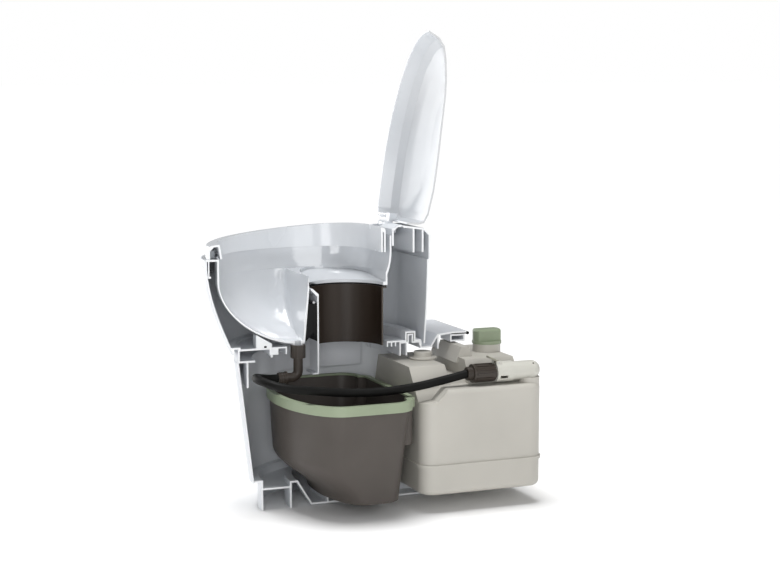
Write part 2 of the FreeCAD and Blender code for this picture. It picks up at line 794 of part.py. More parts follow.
def deck():
    """Hollow cover behind the bowl that carries the hinge of seat and lid."""
    wall = size("deck_wall")
    front, rear = size("deck_front"), size("deck_rear")
    low, top = size("housing_rear_top_z"), size("deck_top_z")
    plan = Plan(front - HOUSING.nose, rear, size("housing_half_width"), HOUSING.nose, HOUSING.corner)

    def block(inset):
        side = prism(((front + inset, low - inset), (front + inset, top - size("deck_round") / 2 - inset),
                      (front + size("deck_round") - inset / 2, top - inset),
                      (rear - size("deck_round"), top - size("deck_fall") - inset),
                      (rear - inset, top - size("deck_fall") - size("deck_round")),
                      (rear - inset, low - inset)), -FAR, FAR)
        drop, reach = size("deck_crown"), size("housing_half_width")
        radius = (reach * reach + drop * drop) / (2 * drop)
        crown = along_y(radius - inset, 0, top - radius, front - FAR, rear + FAR)
        return plan.grown(-inset).slab(low - inset, top).common(side).common(crown)

    shell = block(0).cut(block(wall))
    under_front = box(-FAR, FAR, front - wall, front + wall + 0.01, 0, size("deck_panel_z"))
    ribs = [box(-FAR, 0, y, y + wall, size("deck_rib_z"), top).common(block(0))
            for y in (size("deck_rib_front"), size("deck_rib_rear"))]
    gap = size("hinge_side_gap")
    span = 2 * size("hinge_eye_width") + 3 * gap
    x0, x1 = size("hinge_x") - span / 2, size("hinge_x") + span / 2
    floor = size("hinge_z") - size("hinge_eye") - 2 * gap
    back = size("hinge_y") + size("hinge_eye") + gap
    pocket_block = box(x0 - wall, x1 + wall, front, back + wall, floor - wall, top).common(block(0))
    pocket = box(x0, x1, -FAR, back, floor, FAR)
    hinge_y, hinge_z = size("hinge_y"), size("hinge_z")
    pin_hole = Part.makeCylinder(size("hinge_pin_radius"), FAR, Vector(-FAR, hinge_y, hinge_z),
                                 Vector(1, 0, 0))
    cheeks = [Part.makeCylinder(size("hinge_eye"), wall, Vector(x, hinge_y, hinge_z), Vector(1, 0, 0))
              for x in (x0 - wall, x1)]
    body = shell.fuse(ribs + [pocket_block]).cut(pocket).fuse(cheeks).cut(pin_hole).cut(under_front)
    piece("hinge_deck", half(body))
    pin = DOC.addObject("Part::Cylinder", "hinge_pin")
    pin.Label = "hinge_pin"
    pin.Placement.Rotation = Rotation(Vector(0, 1, 0), 90)
    bind(pin, Radius="hinge_pin_radius",
         Height="2 * hinge_eye_width + 3 * hinge_side_gap + 2 * deck_wall",
         Placement__Base__x="hinge_x - hinge_eye_width - 1.5 * hinge_side_gap - deck_wall",
         Placement__Base__y="hinge_y", Placement__Base__z="hinge_z")
    PIECES.append(pin)


def eye(x_low, shape):
    """Hinge eye round the pin with its bore, joined to a hinged shell."""
    width = size("hinge_eye_width")
    at = Vector(x_low, size("hinge_y"), size("hinge_z"))
    boss = Part.makeCylinder(size("hinge_eye"), width, at, Vector(1, 0, 0))
    bore = Part.makeCylinder(size("hinge_pin_radius") + size("hinge_bore_gap"), width, at, Vector(1, 0, 0))
    return shape.fuse(boss).cut(bore)


def seat():
    plan = Plan(HOUSING.front - size("seat_overhang"), size("seat_rear"),
                size("seat_half_width"), HOUSING.nose + size("seat_overhang"),
                size("seat_corner"))
    bottom, wall, soft = size("seat_bottom_z"), size("seat_wall"), size("seat_round")
    slope = (size("seat_rear_thick") - size("seat_front_thick")) / (plan.rear - plan.front)

    def tilted(outline, drop):
        """Outline in the sloping top plane, lowered by a drop."""
        lift = bottom + size("seat_front_thick") - drop - slope * plan.front
        shear = FreeCAD.Matrix(1, 0, 0, 0, 0, 1, 0, 0, 0, slope, 1, lift, 0, 0, 0, 1)
        return outline.wire(0).transformGeometry(shear)

    def opening(gap):
        ring_width = size("seat_ring")
        hole = Plan(plan.front + ring_width + gap, plan.rear - size("seat_rear_ring") - gap,
                    plan.half_width - ring_width - gap, plan.nose - ring_width - gap,
                    plan.corner - ring_width - gap)
        flare = size("seat_flare")
        waist = hole.moved(-flare / 3, -flare / 3, 0).wire(bottom + 2 * soft)
        mouth = hole.moved(-flare, -flare, 0).wire(bottom + size("seat_rear_thick") + wall)
        return Part.makeLoft([hole.wire(bottom - wall), waist, mouth], True, True)

    near = soft * size("seat_soft_share")
    outer = Part.makeLoft([plan.wire(bottom), tilted(plan, soft), tilted(plan.grown(-near), near),
                           tilted(plan.grown(-soft), 0)], True, True)
    inset = plan.grown(-wall)
    hollow = Part.makeLoft([inset.wire(bottom - wall), tilted(inset, soft + wall),
                            tilted(inset.grown(-soft), wall)], True, True)
    shell = outer.cut(hollow.cut(opening(-wall)))
    shell = half(shell.cut(opening(0)))
    x = size("hinge_x") - size("hinge_side_gap") / 2 - size("hinge_eye_width")
    arm = box(x, x + size("hinge_eye_width"), plan.rear - wall, size("hinge_y"),
              size("hinge_z") - size("hinge_eye"), size("hinge_z") - wall)
    piece("seat", eye(x, shell.fuse(arm)))
    low = size("housing_top_z") + size("rim_plate") + size("buffer_gap")
    spots = ((-plan.half_width + size("seat_ring") / 2, plan.front + plan.nose),
             (-size("seat_ring"), plan.front + size("seat_ring") / 2))
    room = hollow.cut(opening(-wall))
    pads = [along_z(size("buffer_radius"), x, y, low, low + size("buffer_height")).common(room)
            for x, y in spots]
    piece("seat_buffers", Part.makeCompound(pads))


def lid():
    """Domed dish, drawn shut about the hinge and laid back to its open rest."""
    wide, front, rear = size("lid_half_width"), -size("lid_length"), -size("lid_rear")
    edge, height, soft = size("lid_edge"), size("lid_height"), size("lid_soft")
    wall_in, wall_rise = size("lid_wall_in"), size("lid_wall_rise")
    ledge_in, ledge_rise = size("lid_ledge_in"), size("lid_ledge_rise")
    draft, slope = wall_in / wall_rise, (ledge_rise - wall_rise) / (ledge_in - wall_in)
    profile = ((0.0, 0.0), (wall_in - soft * draft, wall_rise - soft),
               (wall_in + soft / 3, wall_rise - soft / 3), (wall_in + soft, wall_rise + soft * slope),
               (ledge_in, ledge_rise), (size("lid_crown_in"), size("lid_crown_rise")),
               (size("lid_panel_in"), height))

    def dome(wall):
        sections = []
        for inward, rise in profile:
            tip, heel = front + wall + inward, rear - wall - inward ** 2 / size("lid_panel_in")
            plan = Plan(tip, heel, wide - wall - inward, (heel - tip) * size("lid_nose_share"),
                        (heel - tip) * size("lid_corner_share"))
            sections.append((plan, edge + rise * (height - wall) / height))
        return loft(sections, True)

    shell = half(dome(0).cut(dome(size("lid_wall"))))
    x = size("hinge_x") + size("hinge_side_gap") / 2
    width, eye_radius = size("hinge_eye_width"), size("hinge_eye")
    arm = box(x, x + width, rear - 2 * eye_radius, 0, 0, eye_radius)
    arm = arm.fuse(box(x, x + width, rear - 2 * eye_radius, rear - size("lid_wall") / 2, 0, 2 * eye_radius))
    shape = shell.fuse(arm)
    shape.translate(Vector(0, size("hinge_y"), size("hinge_z")))
    shape = eye(x, shape)
    shape.rotate(Vector(0, size("hinge_y"), size("hinge_z")), Vector(1, 0, 0), -size("lid_lean"))
    piece("lid", shape)


def collar():
    """Hollow ring on the base that carries the housing, with its raised inner rib and seal."""
    wall, top, low = size("collar_wall"), size("collar_top_z"), size("collar_bottom_z")
    width = size("collar_width")
    rear = box(-FAR, FAR, size("collar_rear") - size("collar_corner"), FAR, 0, FAR)
    horseshoe = COLLAR.moved(0, 0, -width - size("collar_corner"))
    plate = ring(horseshoe, horseshoe.grown(-width), top - wall, top)
    outer = ring(horseshoe, horseshoe.grown(-wall), low, top)
    inner = ring(horseshoe.grown(wall - width), horseshoe.grown(-width), low + 2 * wall, top)
    bottom = ring(horseshoe, horseshoe.grown(-size("collar_bottom_in")), low, low + wall)
    skirt_plan = horseshoe.grown(-size("collar_skirt_in"))
    skirt = ring(skirt_plan, skirt_plan.grown(-wall), size("collar_skirt_z"), low)
    front = size("bracket_y")
    bracket_seat = box(-size("bracket_width"), 0, front, front + size("bracket_length"),
                       top - size("bracket_height"), top)
    piece("collar_ring", half(plate.fuse([outer, inner, bottom, skirt]).cut(rear).cut(bracket_seat)))
    rib_plan = horseshoe.grown(-size("wedge_in"))
    rib_width = size("wedge_width")
    rib = rib_plan.slab(top, size("wedge_top_z"))
    core_low = rib_plan.grown(-rib_width)
    core = loft([(core_low, size("wedge_low_z")), (rib_plan.grown(-wall / 3), size("wedge_top_z"))])
    rib = rib.cut(core_low.slab(top, size("wedge_low_z"))).cut(core)
    groove_plan = rib_plan.grown(-rib_width / 2)
    seal = size("seal_width")
    groove = ring(groove_plan, groove_plan.grown(-seal), top, top + size("seal_height"))
    land = ring(horseshoe.grown(-width), core_low, top, top + wall)
    piece("collar_rib", half(rib.fuse(land.common(rib_plan.slab(top, top + wall))).cut(groove).cut(rear)))
    piece("collar_seal", half(groove.cut(rear)))


def bracket():
    """Open guide under the collar rib at the front."""
    y, length, height = "bracket_y", "bracket_length", "bracket_height"
    wall, top = "bracket_wall", "collar_top_z"
    padded("front_bracket", (
        (y, top), (f"{y} + {length}", top), (f"{y} + {length}", f"{top} - {height}"),
        (f"{y} + {length} - {wall}", f"{top} - {height}"), (f"{y} + {length} - {wall}", f"{top} - {wall}"),
        (f"{y} + {length} / 2", f"{top} - {wall}"), (f"{y} + {length} / 2", f"{top} - {height}"),
        (y, f"{top} - {height}"),
    ), "bracket_width")


def rear_deck():
    """Lower and upper sheet that lock over each other behind the chute, with the gasket between."""
    wall, gasket = size("sheet_wall"), size("gasket_wall")
    front, base, crest = size("ridge_front"), size("ridge_base_z"), size("ridge_crest_z")
    half_width, sheet_front = size("sheet_half_width"), size("sheet_front")
    rearward = box(-FAR, 0, sheet_front, FAR, 0, FAR)
    inner = Plan(front - size("ridge_half_width") * 4, front, size("ridge_half_width"),
                 size("ridge_half_width") * 2, size("ridge_corner"))
    width = size("ridge_width")

    def band(low_gap, high_gap, z0, z1):
        """Strip of the ridge's plan between two distances from its front face."""
        return ring(inner.grown(high_gap), inner.grown(low_gap), z0, z1).common(rearward)

    def ridge(inset, foot):
        """Hollow ridge, its outside drawn in by an inset."""
        top = crest - inset
        return [band(inset, inset + wall, foot, top), band(inset, width - inset, top - wall, top),
                band(width - inset - wall, width - inset, foot, top)]

    tongue = size("tongue_half_width")
    flange = size("ridge_flange")
    cover = ridge(0, base - wall)
    cover += [band(width - wall, width + flange, base - wall, base),
              box(-tongue, 0, size("tongue_front"), front + wall, base - wall, base)]
    cover += [box(-tongue, 0, y, y + size("comb_wall"), base - size("comb_height"), base)
              for y in [size("tongue_front") + index * size("comb_step") for index in range(3)]]
    piece("deck_upper", cover[0].fuse(cover[1:]))
    under = wall + gasket
    piece("deck_gasket", ridge_gasket(band, width, wall, gasket, base, crest))
    low = base - wall
    valley, length, valley_z = size("valley_front"), size("valley_length"), size("valley_z")
    tail_z, tail_rear, rise = size("tail_z"), size("tail_rear"), size("tail_rise")
    plate = box(-half_width, 0, sheet_front, valley, low - wall, low)
    plate = plate.cut(inner.grown(width - under).slab(0, FAR))
    inside = housing_at(0).grown(-size("housing_wall") - size("core_gap"))
    wall_way = ring(housing_at(0).grown(size("core_gap")), inside,
                    size("housing_bottom_z") - size("core_gap"), FAR)
    tail_line = ((valley - wall, low), (valley, valley_z), (valley + length, valley_z),
                 (valley + rise, tail_z - wall), (valley + 2 * rise, tail_z), (tail_rear, tail_z))
    tail = sheet(tail_line, wall, -half_width, 0)
    sill = box(-half_width, 0, valley - wall, valley, valley_z - wall, low)
    legs = [band(y - front, y - front + wall, size("leg_z"), low)
            for y in (size("leg_front"), size("leg_rear"))]
    shelf = band(size("leg_front") - front, under + wall, low - wall, low)
    stop_y = valley + rise
    stop = box(-half_width, 0, stop_y, stop_y + wall, size("plate_z"), tail_z - wall)
    upper = plate.fuse(ridge(under, low - wall) + [shelf, sill]).common(inside.slab(0, FAR))
    piece("deck_lower", upper.fuse(legs + [tail.cut(wall_way), stop]))
    seal = size("tail_seal_wall")
    seal_top = tail_z - wall
    bulb = size("bulb_radius")
    strip = box(-half_width, 0, tail_rear - size("tail_seal_length"), tail_rear + bulb,
                seal_top - seal, seal_top)
    bead_end = Vector(-half_width, tail_rear + bulb, seal_top - seal / 2)
    bead = Part.makeCylinder(bulb, half_width, bead_end, Vector(1, 0, 0))
    bead = bead.cut(box(-FAR, FAR, 0, tail_rear, 0, FAR))
    piece("tail_seal", strip.fuse(bead))
    block_top = seal_top - seal
    block_low = block_top - size("latch_height")
    front_y, rear_y, side = size("latch_front"), tail_rear - wall, size("latch_half_width")
    block = box(-side, 0, front_y, rear_y, block_low, block_top)
    hollow = box(-side + wall, 0, front_y + wall, rear_y - wall, block_low + wall, block_top - wall)
    piece("tail_block", block.cut(hollow))


def ridge_gasket(band, width, wall, gasket, base, crest):
    """Thin seal pressed between the two ridges."""
    inset, top = wall, crest - wall
    strips = [band(inset, inset + gasket, base - wall, top), band(inset, width - inset, top - gasket, top),
              band(width - inset - gasket, width - inset, base - wall, top)]
    return strips[0].fuse(strips[1:])


def base_shell():
    wall = size("base_wall")
    low, high = size("base_bottom_z"), size("base_top_z")
    foot = BASE.moved(size("base_tuck"), size("base_side_tuck"), 0)
    outer = loft([(foot, low), (BASE, high)])
    inner = loft([(foot.grown(-wall), low), (BASE.grown(-wall), high)])
    back = size("base_half_width") - size("base_return")
    open_rear = box(-back, back, size("base_rear") - 2 * wall, FAR, 0, FAR)
    return half(outer.cut(inner).cut(open_rear))


def base_pan():
    """Floor pan with the bin well, the front foot channel and the tank rails."""
    wall, floor = size("pan_wall"), size("pan_floor_z")
    rail_z, channel_z, lip_z = size("pan_rail_z"), size("pan_channel_z"), size("pan_lip_z")
    skirt = ring(PAN, PAN.grown(-wall), 0, rail_z)
    front_side = box(-FAR, FAR, -FAR, size("well_rear"), 0, FAR)
    tall = ring(PAN, PAN.grown(-wall), 0, size("pan_flange_z")).common(front_side)
    low_z = size("base_bottom_z")
    rise = (size("pan_flange_z") - wall - low_z) / (size("base_top_z") - low_z)
    shell = BASE.moved(size("base_tuck") * (1 - rise), size("base_side_tuck") * (1 - rise), 0)
    flange = ring(shell.grown(-size("base_wall")), PAN.grown(-wall / 2), size("pan_flange_z") - wall,
                  size("pan_flange_z")).common(front_side)
    rim = WELL.moved(-size("channel_rear"), -size("channel_side"), 0)
    channel = ring(PAN.grown(-wall / 2), rim.grown(-wall / 2), channel_z - wall, channel_z)
    channel = channel.common(front_side)
    foot_wall = ring(rim, rim.grown(-wall), 0, lip_z).common(front_side)
    lip = ring(rim, WELL, lip_z - wall, lip_z).common(front_side)
    foot = WELL.moved(size("well_tuck"), size("well_tuck") / 2, 0)
    slope = loft([(foot.grown(wall), floor - wall), (WELL.grown(wall), lip_z)])
    slope = slope.cut(loft([(foot, floor - wall), (WELL, lip_z)])).common(front_side)
    plate = PAN.grown(-wall / 2).slab(floor - wall, floor)
    plate = plate.cut(box(-FAR, FAR, -FAR, size("well_front"), 0, FAR))
    behind = box(-FAR, FAR, size("well_rear") - FAR / 10, FAR, 0, FAR)
    plate = plate.common(foot.grown(wall).slab(0, floor).fuse(behind))
    rails = [box(-x - wall, -x, size("tank_front"), size("pan_rear") - wall, floor - wall / 2,
                 size("tank_bottom_z") - size("bin_rest_gap"))
             for x in (size("tank_half_width") * size("rail_inner_share"),
                       size("tank_half_width") * size("rail_outer_share"))]
    rests = [box(-size("bin_half_width") * size("rest_share"), 0, y, y + wall, floor - wall / 2,
                 size("bin_bottom_z") - size("bin_rest_gap"))
             for y in (size("chute_y") - size("bin_nose") / 2, size("chute_y") + size("bin_nose") / 2)]
    return half(skirt.fuse([tall, flange, channel, foot_wall, lip, slope, plate] + rails + rests))


def bin_at(z, grow):
    """Bin outline at a height: straight tapers, and an S curve below the belly at the front."""
    low, belly, high = size("bin_bottom_z"), size("bin_belly_z"), size("bin_top_z")
    fall = (high - z) / (high - low)
    share = min((z - low) / (belly - low), 1)
    ease = 1 - share * share * (3 - 2 * share)
    front = size("bin_front_tuck") * ease + size("bin_draft") * fall
    return BIN.moved(front, size("bin_side_tuck") * fall, size("bin_rear_tuck") * fall).grown(grow)


def grip_block(grow, low, high):
    """Grip behind the bin's rear wall, with round upright corners."""
    side, rear = size("grip_half_width") + grow, size("grip_rear") + grow
    front = size("bin_rear") - size("bin_corner")
    return round_box(side, front, rear, low, high, size("grip_corner") + grow)


def solids_bin():
    low, belly, high = size("bin_bottom_z"), size("bin_belly_z"), size("bin_top_z")
    wall = size("bin_wall")

    def tub(grow, lift):
        steps = [low + lift + share * (belly - low - lift) for share in (0.0, 0.25, 0.5, 0.75, 1.0)]
        lower = loft([(bin_at(z, grow), z) for z in steps])
        upper = loft([(bin_at(belly, grow), belly), (BIN.grown(grow), high)])
        return lower.fuse(upper)

    grip_low = size("grip_low_z")
    outer = tub(0, 0).fuse(grip_block(0, grip_low, high))
    inner = tub(-wall, wall).fuse(grip_block(-wall, grip_low + wall, high))
    piece("solids_bin", outer.cut(inner))
    top, skirt = high + size("rim_over"), high + size("rim_over") - size("rim_height")

    def mouth(grow, z0, z1):
        return BIN.grown(grow).slab(z0, z1).fuse(grip_block(grow, z0, z1))

    out, land, gap = size("rim_out"), size("rim_land"), size("rim_gap")
    rim = mouth(out, skirt, top).cut(mouth(gap, skirt, high)).cut(mouth(-land, high, top))
    piece("bin_rim", rim)


def round_box(x, y0, y1, z0, z1, corner):
    """Block on the centre line with round upright corners."""
    block = box(-x, x, y0, y1, z0, z1)
    upright = [edge for edge in block.Edges if edge.BoundBox.ZLength > (z1 - z0) * 0.9]
    return block.makeFillet(corner, upright)


def taper(low_half, top_half, y0, y1, z0, z1, forward, back):
    """Block that narrows towards its top, its front leaning forward and its rear leaning back in."""
    low = [Vector(-low_half, y0, z0), Vector(low_half, y0, z0),
           Vector(low_half, y1, z0), Vector(-low_half, y1, z0)]
    top = [Vector(-top_half, y0 - forward, z1), Vector(top_half, y0 - forward, z1),
           Vector(top_half, y1 - back, z1), Vector(-top_half, y1 - back, z1)]
    return Part.makeLoft([Part.makePolygon(low + low[:1]), Part.makePolygon(top + top[:1])], True, True)


def tank_form(inset):
    """Blow-moulded tank, its outline drawn in by an inset."""
    x, corner = size("tank_half_width") - inset, size("tank_corner") - inset
    y0, y1 = size("tank_front") + inset, size("tank_rear") - inset
    low, top = size("tank_bottom_z") + inset, size("tank_top_z") - inset
    soft = size("tank_round")
    body = round_box(x, y0, y1, low, top, corner)
    level = [edge for edge in body.Edges if edge.BoundBox.ZLength < soft / 10]
    body = body.makeFillet(soft, level)
    step = prism(((-FAR, size("step_front_z") - inset), (y0, size("step_front_z") - inset),
                  (size("step_low_y") + inset, size("step_low_z") - inset),
                  (size("step_top_y") + inset, top),
                  (size("step_top_y") + inset, FAR), (-FAR, FAR)), -FAR, FAR)
    body = body.cut(step)
    base = size("step_front_z") - 2 * soft + inset
    low_half, top_half = size("tier_half_width") - inset, size("tier_top_half_width") - inset
    lean = size("tank_front") - size("tier_front")
    front_tier = taper(low_half, top_half, y0 + lean, size("recess_front") - inset,
                       base, size("tier_z") - inset, 2 * lean, soft)
    rear_block = taper(low_half, top_half, size("recess_rear") + inset, size("block_rear") - inset,
                       base, size("block_z") - inset, 0, soft)
    middle = taper(low_half, top_half, size("recess_front") - 2 * soft, size("recess_rear") + 2 * soft,
                   base, size("recess_z") - inset, 0, 0)
    hump_lean = (size("hump_rear") - size("recess_rear")) / 3
    hump = prism(((size("recess_rear") - hump_lean / 2 + inset, size("block_z") - soft),
                  (size("recess_rear") + hump_lean / 2 + inset, size("hump_z") - inset),
                  (size("hump_rear") - hump_lean - inset, size("hump_z") - inset),
                  (size("hump_rear") - inset, size("block_z") - soft)),
                 -size("hump_half_width") + inset, size("hump_half_width") - inset)
    return body.fuse([front_tier, rear_block, middle, hump])


def tank():
    outer = tank_form(0)
    seam_plan = round_box(size("tank_half_width") + size("seam_out"), size("tank_front") - size("seam_out"),
                          size("tank_rear") + size("seam_out"), size("seam_z") - size("seam_height") / 2,
                          size("seam_z") + size("seam_height") / 2, size("tank_corner") + size("seam_out"))
    neck = along_z(size("neck_radius"), 0, size("neck_y"), size("block_z") - size("tank_wall"),
                   size("neck_z"))
    bore = along_z(size("neck_bore"), 0, size("neck_y"), size("block_z") - 3 * size("tank_wall"), FAR)
    foot = along_z(size("boss_foot_radius"), size("spout_x"), size("boss_y"),
                   size("tank_top_z") - size("boss_foot_sink"),
                   size("tank_top_z") + size("boss_foot_height"))
    body = outer.fuse([seam_plan, neck, foot]).cut(tank_form(size("tank_wall"))).cut(bore)
    piece("tank_body", body)


def fill_cap():
    """Green screw cap: round flange below, broad flat-sided grip above."""
    low = size("neck_z") + size("cap_gap")
    flange_top = low + size("cap_flange_height")
    flange = along_z(size("cap_flange_radius"), 0, size("neck_y"), low, flange_top)
    grip = along_z(size("cap_flange_radius") - size("cap_grip_step"), 0, size("neck_y"),
                   flange_top, low + size("cap_height"))
    flats = box(-size("cap_grip") / 2, size("cap_grip") / 2, 0, FAR, flange_top, FAR)
    grip = grip.common(flats)
    top_edges = [edge for edge in grip.Edges if edge.BoundBox.ZMin > flange_top + size("cap_round")]
    grip = grip.makeFillet(size("cap_round"), top_edges)
    plug = along_z(size("neck_bore") - size("cap_gap"), 0, size("neck_y"),
                   low - size("cap_height") / 3, low)
    piece("fill_cap", flange.fuse([grip, plug]))


def vent_cap():
    body = turned("vent_cap", (
        ("0", "0"), ("vent_flange_radius", "0"), ("vent_flange_radius", "vent_flange_height"),
        ("vent_radius", "vent_flange_height"), ("vent_radius", "vent_flange_height + vent_height"),
        ("0", "vent_flange_height + vent_height"),
    ), Placement__Base__y="vent_y", Placement__Base__z="tier_z + cap_gap")
    return body


def spout():
    """Elbow that pours from the tank and takes the hose connector in its front socket."""
    x, z, radius = size("spout_x"), size("spout_z"), size("spout_radius")
    front, rear = size("spout_front"), size("spout_rear")
    start, shoulder = Vector(x, front, z + radius), Vector(x, rear - radius, z + radius)
    bow = radius * math.sqrt(0.5)
    round_at, tip = Vector(x, rear - radius + bow, z + bow), Vector(x, rear, z)
    profile = Part.Wire([Part.LineSegment(Vector(x, front, z), start).toShape(),
                         Part.LineSegment(start, shoulder).toShape(),
                         Part.Arc(shoulder, round_at, tip).toShape(),
                         Part.LineSegment(tip, Vector(x, front, z)).toShape()])
    tube = Part.Face(profile).revolve(Vector(x, front, z), Vector(0, 1, 0), 360)
    foot_top = size("tank_top_z") + size("boss_foot_height")
    stem = along_z(size("boss_radius"), x, size("boss_y"), foot_top, z)
    bore = along_y(size("spout_inner_bore"), x, z, front, rear - radius)
    down = along_z(size("boss_radius") - size("tank_wall"), x, size("boss_y"), foot_top, z)
    vent = Part.makeCylinder(size("spout_vent_radius"), radius, Vector(x, rear - radius, z + radius / 2),
                             Vector(1, 0, size("spout_vent_slope")))
    boss = along_z(size("boss_foot_radius"), x, size("boss_y"), 0, foot_top)
    piece("spout", solid_of(tube).fuse(stem).cut([bore, down, vent, boss]))
    clip_front, clip_radius = size("clip_front"), size("clip_radius")
    clip = along_y(clip_radius, x, z, clip_front, front)
    clip = clip.cut(along_y(size("spout_bore"), x, z, clip_front, front))
    window = size("clip_window")
    slot = box(x, x + 2 * clip_radius, clip_front + window / 2, clip_front + 2 * window,
               z - window, z - window / 2)
    tab_half, gap, thick = size("tab_width") / 2, size("tab_gap"), size("tab_wall")
    pivot_y, pivot_z = clip_front + window / 2, z + clip_radius - thick / 3
    notch = box(x - tab_half - gap, x + tab_half + gap, clip_front - thick, clip_front + window,
                z + size("spout_bore") + gap, FAR)
    ears = [box(side, side + thick, clip_front, clip_front + window,
                z + size("spout_bore") / 2, pivot_z + thick)
            for side in (x - tab_half - gap - thick, x + tab_half + gap)]
    pin_half = tab_half + gap + thick
    pin_at, along = Vector(x - pin_half, pivot_y, pivot_z), Vector(1, 0, 0)
    pin = Part.makeCylinder(size("tab_pin_radius"), 2 * pin_half, pin_at, along)
    bore = along_y(size("spout_bore"), x, z, clip_front, front)
    piece("spout_clip", clip.fuse(ears).cut(bore).cut(slot).cut(notch).cut(pin))
    piece("tab_pin", pin)
    length = size("tab_length")
    tab = prism(((pivot_y + thick / 2, pivot_z), (pivot_y + thick / 2, pivot_z + thick),
                 (pivot_y - length, pivot_z + thick + length / 2),
                 (pivot_y - length, pivot_z + length / 2)), x - tab_half, x + tab_half)
    boss_at = Vector(x - tab_half, pivot_y, pivot_z)
    boss = Part.makeCylinder(size("tab_boss"), 2 * tab_half, boss_at, along)
    hole = Part.makeCylinder(size("tab_pin_radius") + size("hinge_bore_gap"), 2 * tab_half, boss_at, along)
    piece("coupling_tab", tab.fuse(boss).cut(hole))


def connector():
    """Ribbed hose end that plugs into the spout, and the ring that grips the hose."""
    x, z = size("spout_x"), size("spout_z")
    front, rear = size("connector_front"), size("connector_rear")
    body = along_y(size("connector_radius"), x, z, front, rear)
    nose = along_y(size("connector_nose"), x, z, rear, rear + size("connector_nose_length"))
    bore = along_y(size("hose_bore"), x, z, front, rear + size("connector_nose_length"))
    rib = size("connector_rib")
    ribs = []
    for index in range(int(size("connector_ribs"))):
        bar = box(x - rib, x + rib, front + 2 * rib, rear - 2 * rib, z, z + size("connector_radius") + rib)
        bar.rotate(Vector(x, 0, z), Vector(0, 1, 0), index * 360 / size("connector_ribs"))
        ribs.append(bar)
    piece("hose_connector", body.fuse(ribs + [nose]).cut(bore))
    grip = along_y(size("ring_grip"), x, z, size("ring_front"), front)
    flange = along_y(size("ring_radius"), x, z, front - size("ring_flange"), front)
    piece("hose_ring", grip.fuse(flange).cut(along_y(size("hose_radius"), x, z, size("ring_front"), front)))


def drain_fittings():
    """Union nut under the bowl's drain and the elbow that turns forward to the hose."""
    y = size("drain_y")
    nut = along_z(size("nut_radius"), 0, y, size("nut_bottom_z"), size("nut_top_z"))
    lip = size("drain_bore") + size("drain_wall") + size("drain_lip")
    lip_z, end_z = size("drain_end_z") - size("drain_lip_height"), size("drain_end_z")
    thread = along_z(size("drain_bore") + size("drain_wall"), 0, y, end_z, size("nut_top_z"))
    inlet = along_z(size("elbow_radius"), 0, y, size("nut_bottom_z"), end_z)
    shoulder = along_z(lip, 0, y, lip_z, end_z)
    for index in range(int(size("nut_sides"))):
        cutter = box(size("nut_radius") * size("nut_flat_share"), FAR, -FAR, FAR, 0, FAR)
        cutter.rotate(Vector(0, 0, 0), Vector(0, 0, 1), index * 360 / size("nut_sides"))
        cutter.translate(Vector(0, y, 0))
        nut = nut.cut(cutter)
    piece("drain_nut", nut.cut(thread).cut(inlet).cut(shoulder))
    z, end = size("elbow_z"), size("elbow_end")
    corners = [Vector(0, y, end_z), Vector(0, y, z), Vector(0, end, z)]
    pipe = tube_run(corners, [size("elbow_bend")], size("elbow_radius"), size("elbow_bore"))[0]
    ring_y, ring_wall = size("elbow_ring_y"), size("elbow_ring_wall")
    band = along_y(size("elbow_radius") + size("elbow_ring"), 0, z, ring_y, ring_y + ring_wall)
    sleeve = along_y(size("elbow_radius") + size("elbow_ring") / 2, 0, z, end, ring_y)
    bore = along_y(size("elbow_radius"), 0, z, end, ring_y + ring_wall)
    flange = shoulder.cut(along_z(size("elbow_radius"), 0, y, lip_z, end_z))
    piece("drain_elbow", pipe.fuse([band.cut(bore), sleeve.cut(bore), flange]))


def tube_run(route, trims, outer, inner):
    """Tube along straight runs and tangent arcs, with the arcs' radii and the tube's length."""
    solids, radii = [], []
    length, last = 0.0, route[0]

    def mouth(at, along):
        rings = [Part.Wire([Part.makeCircle(radius, at, along)]) for radius in (outer, inner)]
        return Part.Face(rings, "Part::FaceMakerBullseye")

    for before, corner, after, trim in zip(route, route[1:], route[2:], trims):
        into, out = (corner - before).normalize(), (after - corner).normalize()
        angle = into.getAngle(out)
        radius = trim / math.tan(angle / 2)
        start = corner - into * trim
        centre = corner + (out - into).normalize() * (radius / math.cos(angle / 2))
        solids += [mouth(last, into).extrude(start - last),
                   mouth(start, into).revolve(centre, into.cross(out), math.degrees(angle))]
        length += (start - last).Length + radius * angle
        radii.append(radius)
        last = corner + out * trim
    solids.append(mouth(last, route[-1] - last).extrude(route[-1] - last))
    length += (route[-1] - last).Length
    return solids[0].fuse(solids[1:]), radii, length


def hose_route():
    """Corners of the hose: one wide half turn before the elbow, then a sagging run to the connector."""
    start = Vector(0, size("elbow_end"), size("elbow_z"))
    end = Vector(size("spout_x"), size("ring_front"), size("spout_z"))
    bend, lift = size("hose_turn"), Vector(0, 0, size("hose_lift"))
    near = bend * math.tan(math.pi / 8)
    turn = [start + Vector(0, -near, 0), start + Vector(bend - near, -bend, 0) + lift,
            start + Vector(bend + near, -bend, 0) + lift,
            start + Vector(2 * bend, -near, size("hose_end_lift"))]
    run = []
    for share in HOSE_SHARES:
        point = turn[-1] + (end - turn[-1]) * share
        run.append(Vector(point.x, point.y, end.z - size("hose_sag") * math.sin(math.pi * share)))
    return [start] + turn + run + [end]


